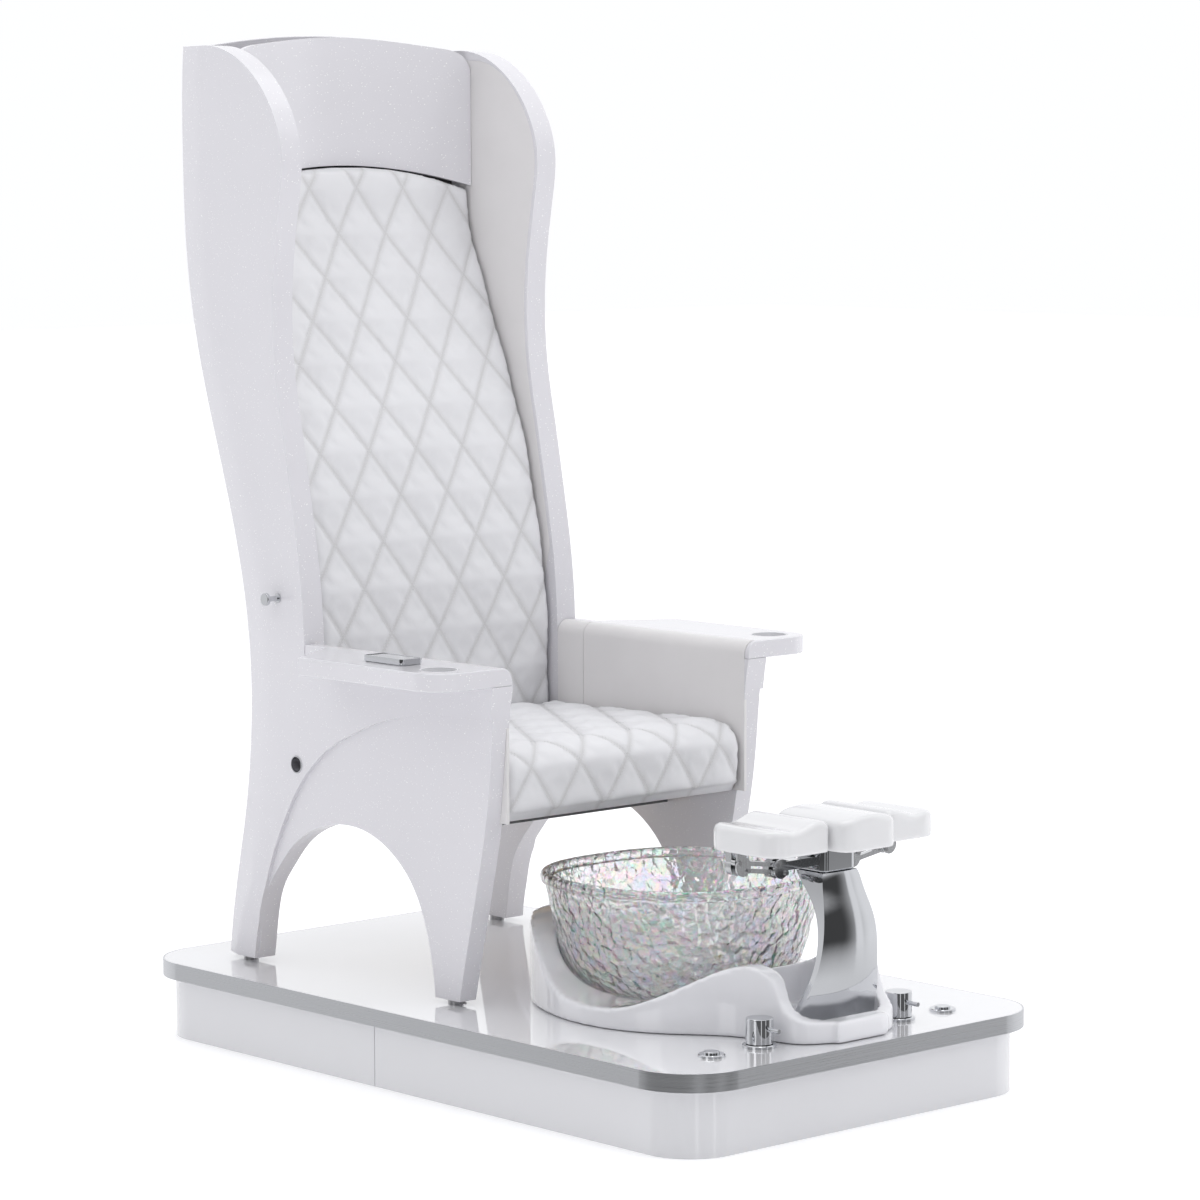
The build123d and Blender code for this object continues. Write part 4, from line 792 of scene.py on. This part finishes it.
# How far the diamonds are shifted along each cushion, and the shapes behind their faces.
SEAT_SHIFT = 0.02
SEAT_ROLL = 0.060
SEAT_SLOPE = 0.008
SEAT_HEM = 0.016
SEAT_TUCK = 0.032
BACK_SHIFT = 0.04
BACK_FOOT = 0.10
BACK_DEPTH = 0.055
ARCH_SIDES = 10


def seat_track(low, high):
    """Seat seen from the side: nearly level top, rolled front, short drop."""
    turn = [math.radians(angle) for angle in range(0, 91, 6)]
    front = [
        (low.y + SEAT_ROLL - SEAT_ROLL * math.sin(t), high.z - SEAT_ROLL + SEAT_ROLL * math.cos(t))
        for t in turn
    ]
    return Track([(high.y, high.z - SEAT_SLOPE)] + front + [(low.y, low.z + SEAT_HEM)])


def add_seat_cushion():
    """The seat's quilt runs over its front roll, and its border is tucked under to a flat base."""
    low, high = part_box("seat_cushion")
    track = seat_track(low, high)
    half_w = high.x - SIDE_CLEAR
    corners = [(-half_w, 0.0), (half_w, 0.0), (half_w, track.length), (-half_w, track.length)]
    under = low.z + 0.004

    def tuck(point):
        y = min(max(point.y, low.y + SEAT_TUCK), high.y - 0.004)
        return point.x * 0.995, y, under

    quilted_cushion("seat_cushion", track, corners, SEAT_SHIFT,
                    lambda obj: close_with_rings(obj, [tuck], cap=True))


def face_profile(node, x, count):
    """The front face of a CAD node at one x: its (y, z) points from the top down."""
    low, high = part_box(node)
    tree = BVHTree.FromObject(NODES[node], bpy.context.evaluated_depsgraph_get())
    points = []
    for z in np.linspace(high.z - 0.0005, low.z + 0.0005, count):
        hit, *_ = tree.ray_cast(Vector((x, low.y - 1, z)), Vector((0, 1, 0)))
        if hit is not None:
            points.append((hit.y, z))
    return points


def add_back_cushion():
    """The back's quilt follows the CAD face and its arched top, and ends behind the seat."""
    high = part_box("back_cushion")[1]
    track = Track(face_profile("back_cushion", 0.0, 90))
    half_w = high.x - SIDE_CLEAR
    sides = face_profile("back_cushion", half_w - 0.002, 200)
    arch_drop = high.z - sides[0][1]
    radius = (half_w**2 + arch_drop**2) / (2 * arch_drop)
    sweep = math.asin(half_w / radius)
    top = [
        (radius * math.sin(t), radius * (1 - math.cos(t)))
        for t in np.linspace(-sweep, sweep, ARCH_SIDES)
    ]
    foot = track.length - BACK_FOOT
    corners = top + [(half_w, foot), (-half_w, foot)]
    depth = face_depth(track)
    quilted_cushion(
        "back_cushion", track, corners, BACK_SHIFT,
        lambda obj: close_with_rings(obj, [depth(0.5), depth(1.0)], cap=False),
    )


def face_depth(track):
    """Makes moves that take a border point back from the cushion's face."""
    heights = track.points[::-1, 1]
    fronts = track.points[::-1, 0]

    def at_depth(share):
        def move(point):
            front = float(np.interp(point.z, heights, fronts))
            return point.x * (1.0 if share < 1 else 0.99), front + BACK_DEPTH * share, point.z

        return move

    return at_depth


# ------------------------------------------------------------------ glass bowl

# Plan: the power of a soft rectangle. Rise: shares of the plan, and their heights over the foot.
BOWL_PLAN = 2.44
BOWL_WALL = 0.008
BOWL_SIDES = 300
BOWL_RISE = [
    (0.10, 0.0), (0.35, 0.0), (0.56, 0.0), (0.66, 0.006), (0.76, 0.021),
    (0.85, 0.052), (0.915, 0.100), (0.965, 0.155), (1.0, 0.207),
]
RISE_STEPS = 58
RIM_R = 0.011
RIM_PROUD = 0.0066
DENT = 0.0024
DENT_SIZE = 0.018
DENT_EDGE = 2.2
DENT_FADE = 0.02
INNER_SIZE = 1.3
INNER_DEPTH = 0.6


def bowl_point(scale, angle, half_a, half_b):
    """A point of the bowl's plan, a soft rectangle, at one scale."""
    c, s = math.cos(angle), math.sin(angle)
    return (scale * half_a * math.copysign(abs(c) ** (2 / BOWL_PLAN), c),
            scale * half_b * math.copysign(abs(s) ** (2 / BOWL_PLAN), s))


def bowl_section(low_z, rim_z, half_b):
    """The section, (share of the plan, height): up the outside, over the rim, down inside."""
    rise = smooth_curve(BOWL_RISE, RISE_STEPS)
    outer = [(scale, low_z + up) for scale, up in rise]
    wall = BOWL_WALL / half_b
    inner = [(scale - wall, low_z + BOWL_WALL + up) for scale, up in rise[:-2]][::-1]
    rim_in, rim_out = 1.0 - wall, 1.0 + RIM_PROUD / half_b
    middle = (rim_in + rim_out) / 2
    reach = (rim_out - rim_in) / 2
    turn = np.radians(np.linspace(-50, 230, 16))
    rim = [(middle + reach * 0.98 * math.cos(t), rim_z + RIM_R * math.sin(t)) for t in turn]
    return outer, rim, inner


def hammered(point, inward, size, depth, seed):
    """A wall point pressed inward by the hammered pattern."""
    cell = noise.voronoi((Vector(point) + Vector((seed, 0, 0))) / size)[0]
    flat = 1 - min(1.0, (cell[1] - cell[0]) * DENT_EDGE)
    return Vector(point) + Vector(inward) * depth * flat


def add_glass_bowl():
    """The bowl: a ring of points at each point of its section, dented where it is wall."""
    low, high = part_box("glass_bowl")
    centre = (low + high) / 2
    half_a = (high.x - low.x) / 2 - RIM_PROUD
    half_b = (high.y - low.y) / 2 - RIM_PROUD
    rim_z = high.z - RIM_R
    outer, rim, inner = bowl_section(low.z, rim_z, half_b)
    profile = outer[:-1] + rim + inner
    angles = [2 * math.pi * k / BOWL_SIDES for k in range(BOWL_SIDES)]
    vertices = []
    for number, (scale, z) in enumerate(profile):
        outside = number < len(outer)
        is_wall = number < len(outer) - 3 or number > len(outer) + len(rim)
        fade = min(1.0, max(0.0, (rim_z - RIM_R - z) / DENT_FADE))
        for angle in angles:
            x, y = bowl_point(scale, angle, half_a, half_b)
            point = Vector((x, y, z))
            if is_wall and outside:
                inward = Vector((x, y, 0)).normalized() * -1
                point = hammered(point, inward, DENT_SIZE, DENT * fade, -5.0)
            elif is_wall:
                outward = Vector((x, y, 0)).normalized()
                size, depth = DENT_SIZE * INNER_SIZE, DENT * fade * INNER_DEPTH
                point = hammered(point, outward, size, depth, 5.0)
            vertices.append(point + Vector((centre.x, centre.y, 0)))
    faces = []
    for ring in range(len(profile)):
        this, following = ring * BOWL_SIDES, (ring + 1) % len(profile) * BOWL_SIDES
        for k in range(BOWL_SIDES):
            after = (k + 1) % BOWL_SIDES
            faces.append((this + k, this + after, following + after, following + k))
    obj = new_piece("glass_bowl_hammered", vertices, faces)
    shade(obj, 80)
    settle(obj, "glass_bowl")


# ------------------------------------------------------------------ the chair

# The radius of the rounded edges of each hard piece.
EASED = {
    "right_side_shell": 0.003, "left_side_shell": 0.003,
    "right_arm_tray": 0.0025, "left_arm_tray": 0.0025,
    "headrest_panel": 0.0025, "back_shell": 0.002,
    "right_wing_lining": 0.0015, "left_wing_lining": 0.0015,
    "deck_board": 0.0008, "skirt_front": 0.0015, "skirt_rear": 0.0015,
    "column_head": 0.004,
}
PADS = ("centre_pad", "right_pad", "left_pad")


def add_pieces():
    """Every piece, then the finish of each CAD node that still shows."""
    for node, radius in EASED.items():
        eased_copy(node, radius)
    melted_copy("basin_cradle", 0.004)
    for node in PADS:
        melted_copy(node, 0.0025)
    add_glass_bowl()
    add_seat_cushion()
    add_back_cushion()
    for node, obj in NODES.items():
        if not obj.hide_render:
            dress(obj, SLOT_OF[node])


def add_floor():
    """A pale seamless floor. Chrome doesn't show it: it shows the room's lower half instead."""
    half = FLOOR_SIZE / 2
    corners = [(-half, -half, 0), (half, -half, 0), (half, half, 0), (-half, half, 0)]
    floor = new_piece("floor", corners, [(0, 1, 2, 3)])
    floor.visible_glossy = False
    finish = Finish("floor_pale", Emission_Strength=FLOOR_GLOW, Emission_Color=(1, 1, 1, 1))
    pale = finish.tints(finish.noise(0.8), (0.3, (0.93, 0.93, 0.94)), (0.7, (0.94, 0.94, 0.95)))
    finish.link("Base Color", pale)
    finish.link("Roughness", finish.spread(finish.noise(2.0), 0.55, 0.7))
    floor.data.materials.append(finish.material)


add_camera()
add_studio()
add_floor()
add_pieces()
